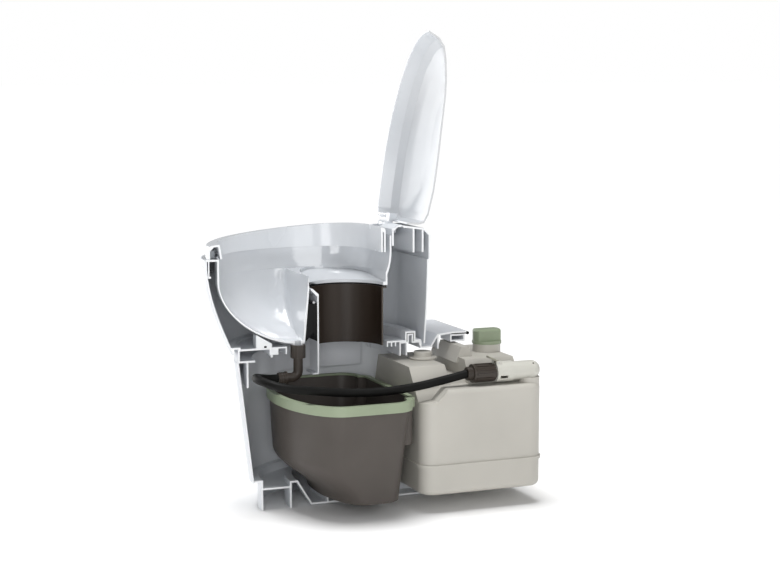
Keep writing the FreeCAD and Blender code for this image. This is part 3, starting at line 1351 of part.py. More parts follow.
def hose():
    """Urine hose: from the elbow forward, round in one wide turn and back along the near side."""
    route = hose_route()
    runs = [(after - before).Length for before, after in zip(route, route[1:])]
    shares = [END_SHARE] + [RUN_SHARE] * (len(runs) - 2) + [END_SHARE]
    trims = [min(run_in * share_in, run_out * share_out)
             for run_in, share_in, run_out, share_out in zip(runs, shares, runs[1:], shares[1:])]
    outer, inner = size("hose_radius"), size("hose_bore")
    tube, radii, length = tube_run(route, trims, outer, inner)
    print("hose radii", [round(radius, 1) for radius in radii], "length", round(length, 1))
    print("hose volume share", round(tube.Volume / (math.pi * (outer ** 2 - inner ** 2) * length), 4))
    piece("hose", tube)


piece("upper_housing", upper_housing())
piece("bowl", bowl())
chute()
separator()
deck()
seat()
lid()
collar()
bracket()
rear_deck()
piece("base_shell", base_shell())
piece("base_pan", base_pan())
solids_bin()
tank()
fill_cap()
vent_cap()
spout()
connector()
drain_fittings()
hose()

DOC.recompute()
for feature in DOC.Objects:
    if "Invalid" in feature.State or "Error" in feature.State:
        raise RuntimeError(f"{feature.Name} failed: {feature.State}")
os.makedirs("parts", exist_ok=True)
broken = []
for feature in PIECES:
    shape = feature.Shape
    if shape.isNull() or not shape.isValid():
        broken.append(feature.Label)
        continue
    print(feature.Label, len(shape.Solids), "solid", round(shape.Volume / 1000, 1), "cm3")
    shape.exportStep(f"parts/{feature.Label}.step")
if broken:
    raise RuntimeError(f"no valid shape: {broken}")
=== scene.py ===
import json
import math

import bmesh
import bpy
from bpy.props import FloatProperty, FloatVectorProperty, IntProperty, PointerProperty
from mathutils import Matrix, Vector
from mathutils.kdtree import KDTree

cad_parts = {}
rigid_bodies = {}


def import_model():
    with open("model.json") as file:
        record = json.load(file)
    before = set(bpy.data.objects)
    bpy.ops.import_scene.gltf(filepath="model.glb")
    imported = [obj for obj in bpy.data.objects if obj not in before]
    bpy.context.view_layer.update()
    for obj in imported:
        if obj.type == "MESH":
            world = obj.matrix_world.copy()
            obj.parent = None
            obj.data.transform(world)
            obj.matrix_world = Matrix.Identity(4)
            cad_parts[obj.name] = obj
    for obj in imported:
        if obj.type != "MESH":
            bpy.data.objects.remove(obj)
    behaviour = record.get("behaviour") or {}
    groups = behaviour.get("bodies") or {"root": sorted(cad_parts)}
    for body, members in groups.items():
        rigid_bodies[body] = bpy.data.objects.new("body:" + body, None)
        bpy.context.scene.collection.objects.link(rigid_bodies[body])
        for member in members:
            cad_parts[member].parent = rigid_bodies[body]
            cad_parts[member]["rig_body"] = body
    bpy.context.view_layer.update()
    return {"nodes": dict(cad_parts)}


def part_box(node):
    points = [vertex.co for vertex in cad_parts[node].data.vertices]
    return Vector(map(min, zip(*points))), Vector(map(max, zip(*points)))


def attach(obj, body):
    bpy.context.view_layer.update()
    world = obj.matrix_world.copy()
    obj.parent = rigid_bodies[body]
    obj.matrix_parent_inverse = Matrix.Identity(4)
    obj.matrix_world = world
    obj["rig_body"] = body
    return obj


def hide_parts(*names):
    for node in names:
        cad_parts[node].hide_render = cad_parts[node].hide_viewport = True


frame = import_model()

bl_info = {
    "name": "Dry toilet in half section",
    "version": (1, 0, 0),
    "blender": (4, 5, 0),
    "location": "View3D > Sidebar > Dry toilet",
    "description": "Dresses the packed dry toilet with its finishes, hose, trims and studio",
    "category": "Object",
}


def linear(red, green, blue):
    """Scene colour of an eight-bit display colour."""
    return tuple((value / 255) ** 2.2 for value in (red, green, blue))


# Hose route: out of the drain elbow, round one wide turn, then along the near side to the coupling.
HOSE_ROUTE = (
    (0.0, -0.104, 0.212), (0.0, -0.1243, 0.212), (0.0287, -0.153, 0.222), (0.0693, -0.153, 0.222),
    (0.098, -0.1243, 0.213), (0.0976, -0.0787, 0.2074), (0.097, -0.0269, 0.19996), (0.0965, 0.0279, 0.197),
    (0.096, 0.0826, 0.19996), (0.0955, 0.1313, 0.2068), (0.095, 0.180, 0.216),
)

# Turn that lays a repeat's axis along Y.
ALONG_Y = (-math.pi / 2, 0.0, 0.0)

# Roughness of the sawn faces of the half section, and the X between which their look fades in.
SAWN_ROUGH = 0.5
SAWN_FADE = (-0.0007, -0.0001)

# Depth behind the section in which an edge belongs to the sawn face.
SAWN_DEPTH = 0.0005

# Depth of the moulding's grain as a share of its size, and roughness of the clear coat.
GRAIN_DEPTH = 0.1
COAT_ROUGH = 0.08

# Share of the drain nut's height that its ribs cover, and by how much of their width they sink in.
NUT_RIB_REACH = 0.7
NUT_RIB_SINK = 1 / 3

# Count, pitch and first place of the rings on the hose ring and on the elbow.
RING_ROWS = {"hose_ring": (4, 0.002, 0.0015), "drain_elbow": (3, 0.003, 0.003)}

# Steps of the wide and of the small edge round.
TOP_STEPS, EDGE_STEPS = 5, 2

# Vertices that lie closer than this are one.
WELD = 2e-6

# Overhead light: strength, spread and the way it shines. Strength of the sky on the object.
OVERHEAD_POWER = 2.65
OVERHEAD_SPREAD = math.radians(28.0)
OVERHEAD_WAY = (0.06, 0.06, -0.99)
SKY_STRENGTH = 0.22

# The floor's half width, and how far it lies below the base.
FLOOR_REACH = 60.0
FLOOR_GAP = 0.0005

# Least bend of an outer top edge, and the normal's rise that parts its side face from its top face.
TOP_EDGE_BEND = math.radians(30.0)
TOP_EDGE_RISE = 0.6

# Box round the sharp valley between the bowl's basin and its funnel wall, and the reach of its softening.
VALLEY_LOW, VALLEY_HIGH = (-0.125, -0.068, 0.270), (-0.004, -0.050, 0.352)
VALLEY_REACH = 0.030

# Bends that count as the valley and as an outer edge.
VALLEY_BEND, OUTER_BEND = math.radians(-60.0), math.radians(40.0)

# Longest mesh edge that is left there, and the least length that an edge counts with.
VALLEY_EDGE, LEAST_EDGE = 0.005, 1e-5

# Rounds that split long edges, passes that ease the valley, and the share of the way in each pass.
VALLEY_SPLITS, VALLEY_PASSES, VALLEY_SHARE = 3, 40, 0.5


class ShellFinish(bpy.types.PropertyGroup):
    """White mouldings: housing, bowl, seat, lid and inner parts."""

    white: FloatVectorProperty(name="White", description="Colour of the white shells", subtype="COLOR",
                               size=3, min=0, max=1, default=linear(219, 222, 226))
    shade: FloatVectorProperty(name="White shade", subtype="COLOR", size=3, min=0, max=1,
                               description="Slightly greyer tone in the moulding's flow marks",
                               default=linear(212, 216, 221))
    # The sawn colour is paler than the white shells: painted light that the cut faces catch.
    sawn: FloatVectorProperty(name="Sawn face", description="Colour of the sawn faces of the white shells",
                              subtype="COLOR", size=3, min=0, max=1, default=linear(240, 242, 244))
    # The inner white is a touch greyer than the shells: that greyer tone is painted shade for the parts
    # inside.
    inner: FloatVectorProperty(name="Inner white", description="Colour of the unpolished inner mouldings",
                               subtype="COLOR", size=3, min=0, max=1, default=linear(217, 220, 225))
    grain: FloatProperty(name="Grain", description="Size of the fine surface grain", subtype="DISTANCE",
                         min=0.0002, max=0.01, default=0.0012)
    edge: FloatProperty(name="Edge round", description="Radius on moulded and sawn edges",
                        subtype="DISTANCE", min=0.0001, max=0.003, default=0.0005)


class TankFinish(bpy.types.PropertyGroup):
    """Warm grey tank with its sage cap, and the brown bin with its sage rim."""

    grey: FloatVectorProperty(name="Tank grey", description="Colour of the urine tank", subtype="COLOR",
                              size=3, min=0, max=1, default=linear(188, 185, 177))
    sage: FloatVectorProperty(name="Sage", description="Colour of cap and bin rim", subtype="COLOR",
                              size=3, min=0, max=1, default=linear(146, 158, 132))
    brown: FloatVectorProperty(name="Bin brown", description="Colour of the solids bin", subtype="COLOR",
                               size=3, min=0, max=1, default=linear(84, 79, 75))


class HoseFinish(bpy.types.PropertyGroup):
    """Black hose and its dark fittings."""

    diameter: FloatProperty(name="Hose diameter", description="Outside diameter of the hose",
                            subtype="DISTANCE", min=0.005, max=0.03, default=0.0135)
    black: FloatVectorProperty(name="Hose black", description="Colour of the hose", subtype="COLOR",
                               size=3, min=0, max=1, default=linear(24, 24, 23))
    nut_ribs: IntProperty(name="Nut ribs", description="Grip ribs round the drain nut",
                          min=6, max=60, default=24)
    nut_rib: FloatProperty(name="Rib width", description="Width of the nut's ribs and of the grip rings",
                           subtype="DISTANCE", min=0.0004, max=0.004, default=0.0012)
    grip_radius: FloatProperty(name="Grip radius", description="Radius of the hose ring's grip",
                               subtype="DISTANCE", min=0.005, max=0.03, default=0.0105)
    elbow_radius: FloatProperty(name="Elbow sleeve", description="Radius of the elbow's hose sleeve",
                                subtype="DISTANCE", min=0.005, max=0.03, default=0.0091)
    dark: FloatVectorProperty(name="Fitting brown", description="Colour of nut, elbow and coupling",
                              subtype="COLOR", size=3, min=0, max=1, default=linear(64, 58, 53))


class StudioSettings(bpy.types.PropertyGroup):
    """Camera, floor and lights."""

    camera_at: FloatVectorProperty(name="Camera place", description="Where the camera stands",
                                   subtype="TRANSLATION", unit="LENGTH", size=3,
                                   default=(2.522, -0.9316, 0.7009))
    camera_turn: FloatVectorProperty(name="Camera turn", description="Camera's rotation",
                                     subtype="EULER", size=3,
                                     default=(math.radians(82.6), 0.0, math.radians(68.0)))
    lens: FloatProperty(name="Lens", description="Focal length on a 36 mm sensor",
                        min=20, max=200, default=78.5)
    floor: FloatVectorProperty(name="Floor", description="Colour of the pale floor", subtype="COLOR",
                               size=3, min=0, max=1, default=(0.96, 0.96, 0.96))


def skin_group():
    """Moulded skin: slow tone drift and a fine grain, from object coordinates."""
    tree = bpy.data.node_groups.get("moulded_skin")
    if tree:
        return tree
    tree = bpy.data.node_groups.new("moulded_skin", "ShaderNodeTree")
    face = tree.interface
    face.new_socket("Place", in_out="INPUT", socket_type="NodeSocketVector")
    face.new_socket("Grain Scale", in_out="INPUT", socket_type="NodeSocketFloat").default_value = 600.0
    face.new_socket("Drift Scale", in_out="INPUT", socket_type="NodeSocketFloat").default_value = 9.0
    face.new_socket("Tone", in_out="OUTPUT", socket_type="NodeSocketFloat")
    face.new_socket("Grain", in_out="OUTPUT", socket_type="NodeSocketFloat")
    nodes, links = tree.nodes, tree.links
    start, end = nodes.new("NodeGroupInput"), nodes.new("NodeGroupOutput")
    drift, grain = nodes.new("ShaderNodeTexNoise"), nodes.new("ShaderNodeTexNoise")
    drift.inputs["Detail"].default_value = 3.0
    grain.inputs["Detail"].default_value = 2.0
    links.new(start.outputs["Place"], drift.inputs["Vector"])
    links.new(start.outputs["Place"], grain.inputs["Vector"])
    links.new(start.outputs["Drift Scale"], drift.inputs["Scale"])
    links.new(start.outputs["Grain Scale"], grain.inputs["Scale"])
    spread = nodes.new("ShaderNodeMapRange")
    spread.inputs["From Min"].default_value = 0.3
    spread.inputs["From Max"].default_value = 0.7
    links.new(drift.outputs["Fac"], spread.inputs["Value"])
    links.new(spread.outputs["Result"], end.inputs["Tone"])
    links.new(grain.outputs["Fac"], end.inputs["Grain"])
    return tree


def sawn_group():
    """Sawn face of the half section: where it lies, and the fine marks that the blade left on it."""
    tree = bpy.data.node_groups.get("sawn_face")
    if tree:
        return tree
    tree = bpy.data.node_groups.new("sawn_face", "ShaderNodeTree")
    face = tree.interface
    face.new_socket("Place", in_out="INPUT", socket_type="NodeSocketVector")
    face.new_socket("Mark Scale", in_out="INPUT", socket_type="NodeSocketFloat").default_value = 260.0
    face.new_socket("Mask", in_out="OUTPUT", socket_type="NodeSocketFloat")
    face.new_socket("Marks", in_out="OUTPUT", socket_type="NodeSocketFloat")
    nodes, links = tree.nodes, tree.links
    start, end = nodes.new("NodeGroupInput"), nodes.new("NodeGroupOutput")
    axes, near = nodes.new("ShaderNodeSeparateXYZ"), nodes.new("ShaderNodeMapRange")
    near.inputs["From Min"].default_value = SAWN_FADE[0]
    near.inputs["From Max"].default_value = SAWN_FADE[1]
    links.new(start.outputs["Place"], axes.inputs["Vector"])
    links.new(axes.outputs["X"], near.inputs["Value"])
    links.new(near.outputs["Result"], end.inputs["Mask"])
    blade = nodes.new("ShaderNodeTexWave")
    blade.bands_direction = "Y"
    blade.inputs["Distortion"].default_value = 1.5
    blade.inputs["Detail"].default_value = 2.0
    links.new(start.outputs["Place"], blade.inputs["Vector"])
    links.new(start.outputs["Mark Scale"], blade.inputs["Scale"])
    cut = nodes.new("ShaderNodeMath")
    cut.operation = "MULTIPLY"
    links.new(blade.outputs["Fac"], cut.inputs[0])
    links.new(near.outputs["Result"], cut.inputs[1])
    links.new(cut.outputs["Value"], end.inputs["Marks"])
    return tree


def add_sawn_face_painted_light(material, colour):
    """Give a half-section moulding its sawn face: a paler tone that is painted light on the cut faces, more
    roughness and the blade's fine marks.
    """
    nodes, links = material.node_tree.nodes, material.node_tree.links
    shader = nodes["Principled BSDF"]
    place, sawn = nodes.new("ShaderNodeTexCoord"), nodes.new("ShaderNodeGroup")
    sawn.node_tree = sawn_group()
    links.new(place.outputs["Object"], sawn.inputs["Place"])
    # The colour mix paints the paler sawn colour onto the cut faces: painted light.
    for socket, value in (("Base Color", (*colour, 1)), ("Roughness", SAWN_ROUGH)):
        mix = nodes.new("ShaderNodeMix")
        mix.data_type = "RGBA" if socket == "Base Color" else "FLOAT"
        inputs = {item.name: item for item in mix.inputs if item.enabled}
        links.new(sawn.outputs["Mask"], inputs["Factor"])
        links.new(shader.inputs[socket].links[0].from_socket, inputs["A"])
        inputs["B"].default_value = value
        links.new(next(item for item in mix.outputs if item.enabled), shader.inputs[socket])
    relief = nodes.new("ShaderNodeBump")
    relief.inputs["Strength"].default_value = 0.2
    relief.inputs["Distance"].default_value = 0.0001
    links.new(sawn.outputs["Marks"], relief.inputs["Height"])
    links.new(shader.inputs["Normal"].links[0].from_socket, relief.inputs["Normal"])
    links.new(relief.outputs["Normal"], shader.inputs["Normal"])
    return material


def plastic(name, light, dark, rough, grain=0.0012, bump=0.15, drift=9.0, coat=0.0, stretch=(1, 1, 1),
            shine=0.5):
    """Moulded plastic: two close tones, roughness that follows them and a fine grain."""
    material = bpy.data.materials.new(name)
    material.use_nodes = True
    nodes, links = material.node_tree.nodes, material.node_tree.links
    shader = nodes["Principled BSDF"]
    place, mapping = nodes.new("ShaderNodeTexCoord"), nodes.new("ShaderNodeMapping")
    skin = nodes.new("ShaderNodeGroup")
    skin.node_tree = skin_group()
    skin.inputs["Grain Scale"].default_value = 1 / grain
    skin.inputs["Drift Scale"].default_value = drift
    mapping.inputs["Scale"].default_value = stretch
    links.new(place.outputs["Object"], mapping.inputs["Vector"])
    links.new(mapping.outputs["Vector"], skin.inputs["Place"])
    tone = nodes.new("ShaderNodeMix")
    tone.data_type = "RGBA"
    tone.inputs["A"].default_value = (*light, 1)
    tone.inputs["B"].default_value = (*dark, 1)
    links.new(skin.outputs["Tone"], tone.inputs["Factor"])
    links.new(tone.outputs["Result"], shader.inputs["Base Color"])
    gloss = nodes.new("ShaderNodeMapRange")
    gloss.inputs["To Min"].default_value = rough[0]
    gloss.inputs["To Max"].default_value = rough[1]
    links.new(skin.outputs["Tone"], gloss.inputs["Value"])
    links.new(gloss.outputs["Result"], shader.inputs["Roughness"])
    relief = nodes.new("ShaderNodeBump")
    relief.inputs["Strength"].default_value = bump
    relief.inputs["Distance"].default_value = grain * GRAIN_DEPTH
    links.new(skin.outputs["Grain"], relief.inputs["Height"])
    links.new(relief.outputs["Normal"], shader.inputs["Normal"])
    shader.inputs["Specular IOR Level"].default_value = shine
    shader.inputs["Coat Weight"].default_value = coat
    shader.inputs["Coat Roughness"].default_value = COAT_ROUGH
    return material


def steel(name):
    """Drawn steel pin: fine streaks along its length."""
    material = plastic(name, linear(190, 190, 192), linear(150, 150, 153), rough=(0.25, 0.4), grain=0.0008,
                       bump=0.2, drift=60.0, stretch=(0.05, 1, 1))
    material.node_tree.nodes["Principled BSDF"].inputs["Metallic"].default_value = 1.0
    return material


FINISHES = {}


def deeper(colour, share=0.9):
    """A darker tone of a colour."""
    return tuple(value * share for value in colour)


def finish(name):
    """One material of the set, made on first use from the panel's settings."""
    if name in FINISHES:
        return FINISHES[name]
    scene = bpy.context.scene
    shell, tank, hose = scene.dry_shell, scene.dry_tank, scene.dry_hose
    white, shade, grain = tuple(shell.white), tuple(shell.shade), shell.grain
    inner, sawn = tuple(shell.inner), tuple(shell.sawn)
    grey, sage, brown = tuple(tank.grey), tuple(tank.sage), tuple(tank.brown)
    black, dark = tuple(hose.black), tuple(hose.dark)
    makers = {
        "shell_satin": lambda: add_sawn_face_painted_light(
            plastic(name, white, shade, rough=(0.3, 0.42), grain=grain, bump=0.12), sawn),
        "bowl_gloss": lambda: add_sawn_face_painted_light(
            plastic(name, deeper(white), deeper(shade, 0.88), rough=(0.07, 0.12), grain=grain, bump=0.02,
                    coat=0.4), sawn),
        "seat_satin": lambda: add_sawn_face_painted_light(
            plastic(name, white, shade, rough=(0.2, 0.3), grain=grain, bump=0.03, coat=0.25), sawn),
        # The lid's sawn face takes a darker copy of the sawn colour: painted shade that sets the lid's edge
        # off from the backdrop.
        "lid_satin": lambda: add_sawn_face_painted_light(
            plastic(name, deeper(white), deeper(shade), rough=(0.15, 0.18), grain=grain, bump=0.02),
            deeper(sawn, 0.7)),
        # The inner parts' greyer white is painted shade.
        "inner_white": lambda: add_sawn_face_painted_light(
            plastic(name, inner, deeper(inner), rough=(0.35, 0.5), grain=grain, bump=0.2), sawn),
        # The chute's last colour is its paler sawn face: painted light.
        "chute_dark": lambda: add_sawn_face_painted_light(
            plastic(name, linear(56, 48, 42), linear(40, 33, 28), rough=(0.28, 0.42), grain=0.0009,
                    bump=0.15, drift=22.0, stretch=(1, 1, 0.12), shine=0.2), linear(84, 78, 72)),
        "seal_black": lambda: plastic(
            name, linear(26, 26, 27), linear(15, 15, 16), rough=(0.55, 0.75), grain=0.0006, bump=0.3,
            shine=0.2),
        # The buffers' light grey is painted shade: the tone of the shaded white hollow in the seat's front,
        # where they sit.
        "buffer_shade_grey": lambda: plastic(
            name, linear(168, 172, 176), linear(150, 154, 158), rough=(0.5, 0.7), grain=0.0008, bump=0.3),
        "bin_brown": lambda: plastic(
            name, brown, deeper(brown), rough=(0.38, 0.52), grain=0.0011, bump=0.3, drift=14.0, shine=0.25),
        "rim_sage": lambda: plastic(
            name, sage, deeper(sage), rough=(0.36, 0.5), grain=0.001, bump=0.2, drift=14.0),
        "tank_grey": lambda: plastic(
            name, grey, deeper(grey), rough=(0.36, 0.5), grain=0.0022, bump=0.3, drift=7.0),
        "cap_sage": lambda: plastic(
            name, deeper(sage), deeper(sage, 0.8), rough=(0.34, 0.46), grain=0.001, bump=0.2),
        "tab_olive": lambda: plastic(
            name, linear(150, 148, 134), linear(138, 136, 122), rough=(0.36, 0.48), grain=0.001, bump=0.2),
        "spout_pale": lambda: plastic(
            name, linear(198, 197, 189), linear(190, 189, 180), rough=(0.34, 0.46), grain=grain, bump=0.15),
        "fitting_dark": lambda: plastic(
            name, dark, deeper(dark), rough=(0.26, 0.4), grain=0.0009, bump=0.2, drift=30.0, shine=0.3),
        "hose_rubber": lambda: hose_rubber(plastic(
            name, black, deeper(black, 0.7), rough=(0.5, 0.65), grain=0.0008, bump=0.2, drift=40.0,
            shine=0.15)),
        "pin_steel": lambda: steel(name),
    }
    FINISHES[name] = makers[name]()
    return FINISHES[name]


def valley_skin(seeds):
    """Faces of the inner skin within reach of the valley's vertices, and a search tree of these."""
    tree = KDTree(len(seeds))
    for index, seed in enumerate(seeds):
        tree.insert(seed.co, index)
    tree.balance()
    queue = [face for seed in seeds for face in seed.link_faces]
    skin = set(queue)
    while queue:
        for edge in queue.pop().edges:
            if len(edge.link_faces) != 2 or edge.calc_face_angle_signed(0.0) > OUTER_BEND:
                continue
            for face in edge.link_faces:
                if face not in skin and valley_gap(tree, face) < VALLEY_REACH:
                    skin.add(face)
                    queue.append(face)
    return skin, tree


def valley_gap(tree, item):
    """Distance from the valley to the nearest vertex of an edge or face."""
    return min(tree.find(vertex.co)[2] for vertex in item.verts)


def valley_seeds(work):
    """Vertices along the sharp valley inside the bowl."""
    found = {}
    for edge in work.edges:
        middle = (edge.verts[0].co + edge.verts[1].co) / 2
        inside = all(low < value < high for low, value, high in zip(VALLEY_LOW, middle, VALLEY_HIGH))
        if inside and len(edge.link_faces) == 2 and edge.calc_face_angle_signed(0.0) < VALLEY_BEND:
            found.update(dict.fromkeys(edge.verts))
    return list(found)


def soften_valley(work):
    """Ease the sharp valley between basin and funnel wall into a soft moulded hollow."""
    work.normal_update()
    for _ in range(VALLEY_SPLITS):
        skin, tree = valley_skin(valley_seeds(work))
        long = [edge for edge in work.edges if edge.calc_length() > VALLEY_EDGE
                and any(face in skin for face in edge.link_faces) and valley_gap(tree, edge) < VALLEY_REACH]
        bmesh.ops.subdivide_edges(work, edges=long, cuts=1)
        bmesh.ops.triangulate(work, faces=[face for face in work.faces if len(face.verts) > 3])
        work.normal_update()
    skin, tree = valley_skin(valley_seeds(work))
    shares = {}
    for vertex in work.verts:
        gap = tree.find(vertex.co)[2] / VALLEY_REACH
        inner = vertex.co.x <= -SAWN_DEPTH and all(face in skin for face in vertex.link_faces)
        if inner and gap < 1.0:
            shares[vertex] = VALLEY_SHARE * math.sqrt(1.0 - gap)
    for _ in range(VALLEY_PASSES):
        moved = {}
        for vertex, share in shares.items():
            pulls = [(edge.other_vert(vertex).co, 1.0 / max(edge.calc_length(), LEAST_EDGE))
                     for edge in vertex.link_edges]
            total = sum(pull for _, pull in pulls)
            middle = sum((place * pull for place, pull in pulls), Vector()) / total
            moved[vertex] = vertex.co.lerp(middle, share)
        for vertex, place in moved.items():
            vertex.co = place


def weigh_top_edges(work):
    """Mark the moulding's outer top edges, between an upward face and a side face, for a wide round."""
    weight = work.edges.layers.float.new("bevel_weight_edge")
    for edge in work.edges:
        sawn = all(vertex.co.x > -SAWN_DEPTH for vertex in edge.verts)
        if sawn or len(edge.link_faces) != 2 or edge.calc_face_angle_signed(0.0) < TOP_EDGE_BEND:
            continue
        side, top = sorted(abs(face.normal.z) for face in edge.link_faces)
        upward = max(face.normal.z for face in edge.link_faces) == top
        edge[weight] = float(upward and side < TOP_EDGE_RISE < top)


def finished(node, finish_name, edge=None, sharp=32.0, merge=0.4, top_round=0.0, soft_valley=False):
    """A node's moulding with merged faces, smooth curves and a small radius on its sharp edges."""
    source = frame["nodes"][node]
    mesh = source.data.copy()
    mesh.materials.clear()
    mesh.materials.append(finish(finish_name))
    work = bmesh.new()
    work.from_mesh(mesh)
    bmesh.ops.remove_doubles(work, verts=work.verts, dist=WELD)
    if soft_valley:
        soften_valley(work)
    bmesh.ops.dissolve_limit(work, angle_limit=math.radians(merge), verts=work.verts, edges=work.edges)
    for face in work.faces:
        face.smooth = True
        face.material_index = 0
    if top_round:
        work.normal_update()
        weigh_top_edges(work)
    work.to_mesh(mesh)
    work.free()
    mesh.set_sharp_from_angle(angle=math.radians(sharp))
    piece = bpy.data.objects.new(f"{node}.finished", mesh)
    bpy.context.scene.collection.objects.link(piece)
    if top_round:
        wide = piece.modifiers.new("top_round", "BEVEL")
        wide.width = top_round
        wide.segments = TOP_STEPS
        wide.limit_method = "WEIGHT"
        wide.use_clamp_overlap = True
    radius = bpy.context.scene.dry_shell.edge if edge is None else edge
    if radius:
        bevel = piece.modifiers.new("edge_round", "BEVEL")
        bevel.width = radius
        bevel.segments = EDGE_STEPS
        bevel.limit_method = "ANGLE"
        bevel.angle_limit = math.radians(sharp)
        bevel.harden_normals = True
        bevel.use_clamp_overlap = True
    even = piece.modifiers.new("even_normals", "WEIGHTED_NORMAL")
    even.keep_sharp = True
    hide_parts(node)
    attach(piece, source["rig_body"])
    return piece


def coat_node(node, finish_name):
    """Material on a node that keeps its own solid."""
    mesh = frame["nodes"][node].data
    mesh.materials.clear()
    mesh.materials.append(finish(finish_name))


def repeat_tree(name, sizes):
    """Empty geometry tree with named inputs for its sizes, its place, its turn and its material."""
    tree = bpy.data.node_groups.new(name, "GeometryNodeTree")
    for label, kind in sizes + (("Place", "Vector"), ("Turn", "Vector"), ("Finish", "Material")):
        tree.interface.new_socket(label, in_out="INPUT", socket_type=f"NodeSocket{kind}")
    tree.interface.new_socket("Geometry", in_out="OUTPUT", socket_type="NodeSocketGeometry")
    return tree


def close_tree(tree, start, copies):
    """Set the copies in place, make them real and give them their material."""
    nodes, links = tree.nodes, tree.links
    move, real = nodes.new("GeometryNodeTransform"), nodes.new("GeometryNodeRealizeInstances")
    smooth, coat = nodes.new("GeometryNodeSetShadeSmooth"), nodes.new("GeometryNodeSetMaterial")
    end = nodes.new("NodeGroupOutput")
    links.new(copies, move.inputs["Geometry"])
    links.new(start.outputs["Place"], move.inputs["Translation"])
    links.new(start.outputs["Turn"], move.inputs["Rotation"])
    links.new(move.outputs["Geometry"], smooth.inputs["Geometry"])
    links.new(smooth.outputs["Geometry"], real.inputs["Geometry"])
    links.new(real.outputs["Geometry"], coat.inputs["Geometry"])
    links.new(start.outputs["Finish"], coat.inputs["Material"])
    links.new(coat.outputs["Geometry"], end.inputs["Geometry"])
    return tree


def rib_tree():
    """Round ribs side by side about an axis, each tapered at its two ends."""
    tree = bpy.data.node_groups.get("ribs_round_axis")
    if tree:
        return tree
    tree = repeat_tree("ribs_round_axis", (("Count", "Int"), ("Radius", "Float"), ("Length", "Float"),
                                           ("Rib Width", "Float")))
    nodes, links = tree.nodes, tree.links
    start = nodes.new("NodeGroupInput")
    spots, tip = nodes.new("GeometryNodeMeshCircle"), nodes.new("ShaderNodeCombineXYZ")
    line, fine = nodes.new("GeometryNodeCurvePrimitiveLine"), nodes.new("GeometryNodeResampleCurve")
    along, taper = nodes.new("GeometryNodeSplineParameter"), nodes.new("ShaderNodeFloatCurve")
    thick, profile = nodes.new("GeometryNodeSetCurveRadius"), nodes.new("GeometryNodeCurvePrimitiveCircle")
    half_width, rib = nodes.new("ShaderNodeMath"), nodes.new("GeometryNodeCurveToMesh")
    copies = nodes.new("GeometryNodeInstanceOnPoints")
    links.new(start.outputs["Count"], spots.inputs["Vertices"])
    links.new(start.outputs["Radius"], spots.inputs["Radius"])
    links.new(start.outputs["Length"], tip.inputs["Z"])
    links.new(tip.outputs["Vector"], line.inputs["End"])
    links.new(line.outputs["Curve"], fine.inputs["Curve"])
    fine.inputs["Count"].default_value = 9
    points = taper.mapping.curves[0].points
    points[0].location = (0.0, 0.05)
    points[1].location = (1.0, 0.05)
    for share in (0.12, 0.88):
        points.new(share, 1.0)
    taper.mapping.update()
    links.new(along.outputs["Factor"], taper.inputs["Value"])
    links.new(fine.outputs["Curve"], thick.inputs["Curve"])
    links.new(taper.outputs["Value"], thick.inputs["Radius"])
    half_width.operation = "DIVIDE"
    half_width.inputs[1].default_value = 2.0
    links.new(start.outputs["Rib Width"], half_width.inputs[0])
    links.new(half_width.outputs["Value"], profile.inputs["Radius"])
    profile.inputs["Resolution"].default_value = 8
    links.new(thick.outputs["Curve"], rib.inputs["Curve"])
    links.new(profile.outputs["Curve"], rib.inputs["Profile Curve"])
    rib.inputs["Fill Caps"].default_value = True
    links.new(spots.outputs["Mesh"], copies.inputs["Points"])
    links.new(rib.outputs["Mesh"], copies.inputs["Instance"])
    return close_tree(tree, start, copies.outputs["Instances"])


def ring_tree():
    """Round rings one behind the other along an axis."""
    tree = bpy.data.node_groups.get("rings_along_axis")
    if tree:
        return tree
    tree = repeat_tree("rings_along_axis", (("Count", "Int"), ("Pitch", "Float"), ("Radius", "Float"),
                                            ("Ring Width", "Float")))
    nodes, links = tree.nodes, tree.links
    start = nodes.new("NodeGroupInput")
    step, spots = nodes.new("ShaderNodeCombineXYZ"), nodes.new("GeometryNodeMeshLine")
    hoop = nodes.new("GeometryNodeCurvePrimitiveCircle")
    profile = nodes.new("GeometryNodeCurvePrimitiveCircle")
    half_width, ring = nodes.new("ShaderNodeMath"), nodes.new("GeometryNodeCurveToMesh")
    copies = nodes.new("GeometryNodeInstanceOnPoints")
    links.new(start.outputs["Pitch"], step.inputs["Z"])
    links.new(start.outputs["Count"], spots.inputs["Count"])
    links.new(step.outputs["Vector"], spots.inputs["Offset"])
    links.new(start.outputs["Radius"], hoop.inputs["Radius"])
    hoop.inputs["Resolution"].default_value = 56
    half_width.operation = "DIVIDE"
    half_width.inputs[1].default_value = 2.0
    links.new(start.outputs["Ring Width"], half_width.inputs[0])
    links.new(half_width.outputs["Value"], profile.inputs["Radius"])
    profile.inputs["Resolution"].default_value = 10
    links.new(hoop.outputs["Curve"], ring.inputs["Curve"])
    links.new(profile.outputs["Curve"], ring.inputs["Profile Curve"])
    links.new(spots.outputs["Mesh"], copies.inputs["Points"])
    links.new(ring.outputs["Mesh"], copies.inputs["Instance"])
    return close_tree(tree, start, copies.outputs["Instances"])


def repeated(name, tree, body, values):
    """Plain mesh of a geometry tree with these inputs, riding on a body."""
    host = bpy.data.objects.new(name, bpy.data.meshes.new(name))
    bpy.context.scene.collection.objects.link(host)
    modifier = host.modifiers.new("repeat", "NODES")
    modifier.node_group = tree
    for item in tree.interface.items_tree:
        if item.item_type == "SOCKET" and item.in_out == "INPUT":
            modifier[item.identifier] = values[item.name]
    view = bpy.context.evaluated_depsgraph_get()
    mesh = bpy.data.meshes.new_from_object(host.evaluated_get(view), depsgraph=view)
    host.modifiers.remove(modifier)
    host.data = mesh
    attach(host, body)
    return host


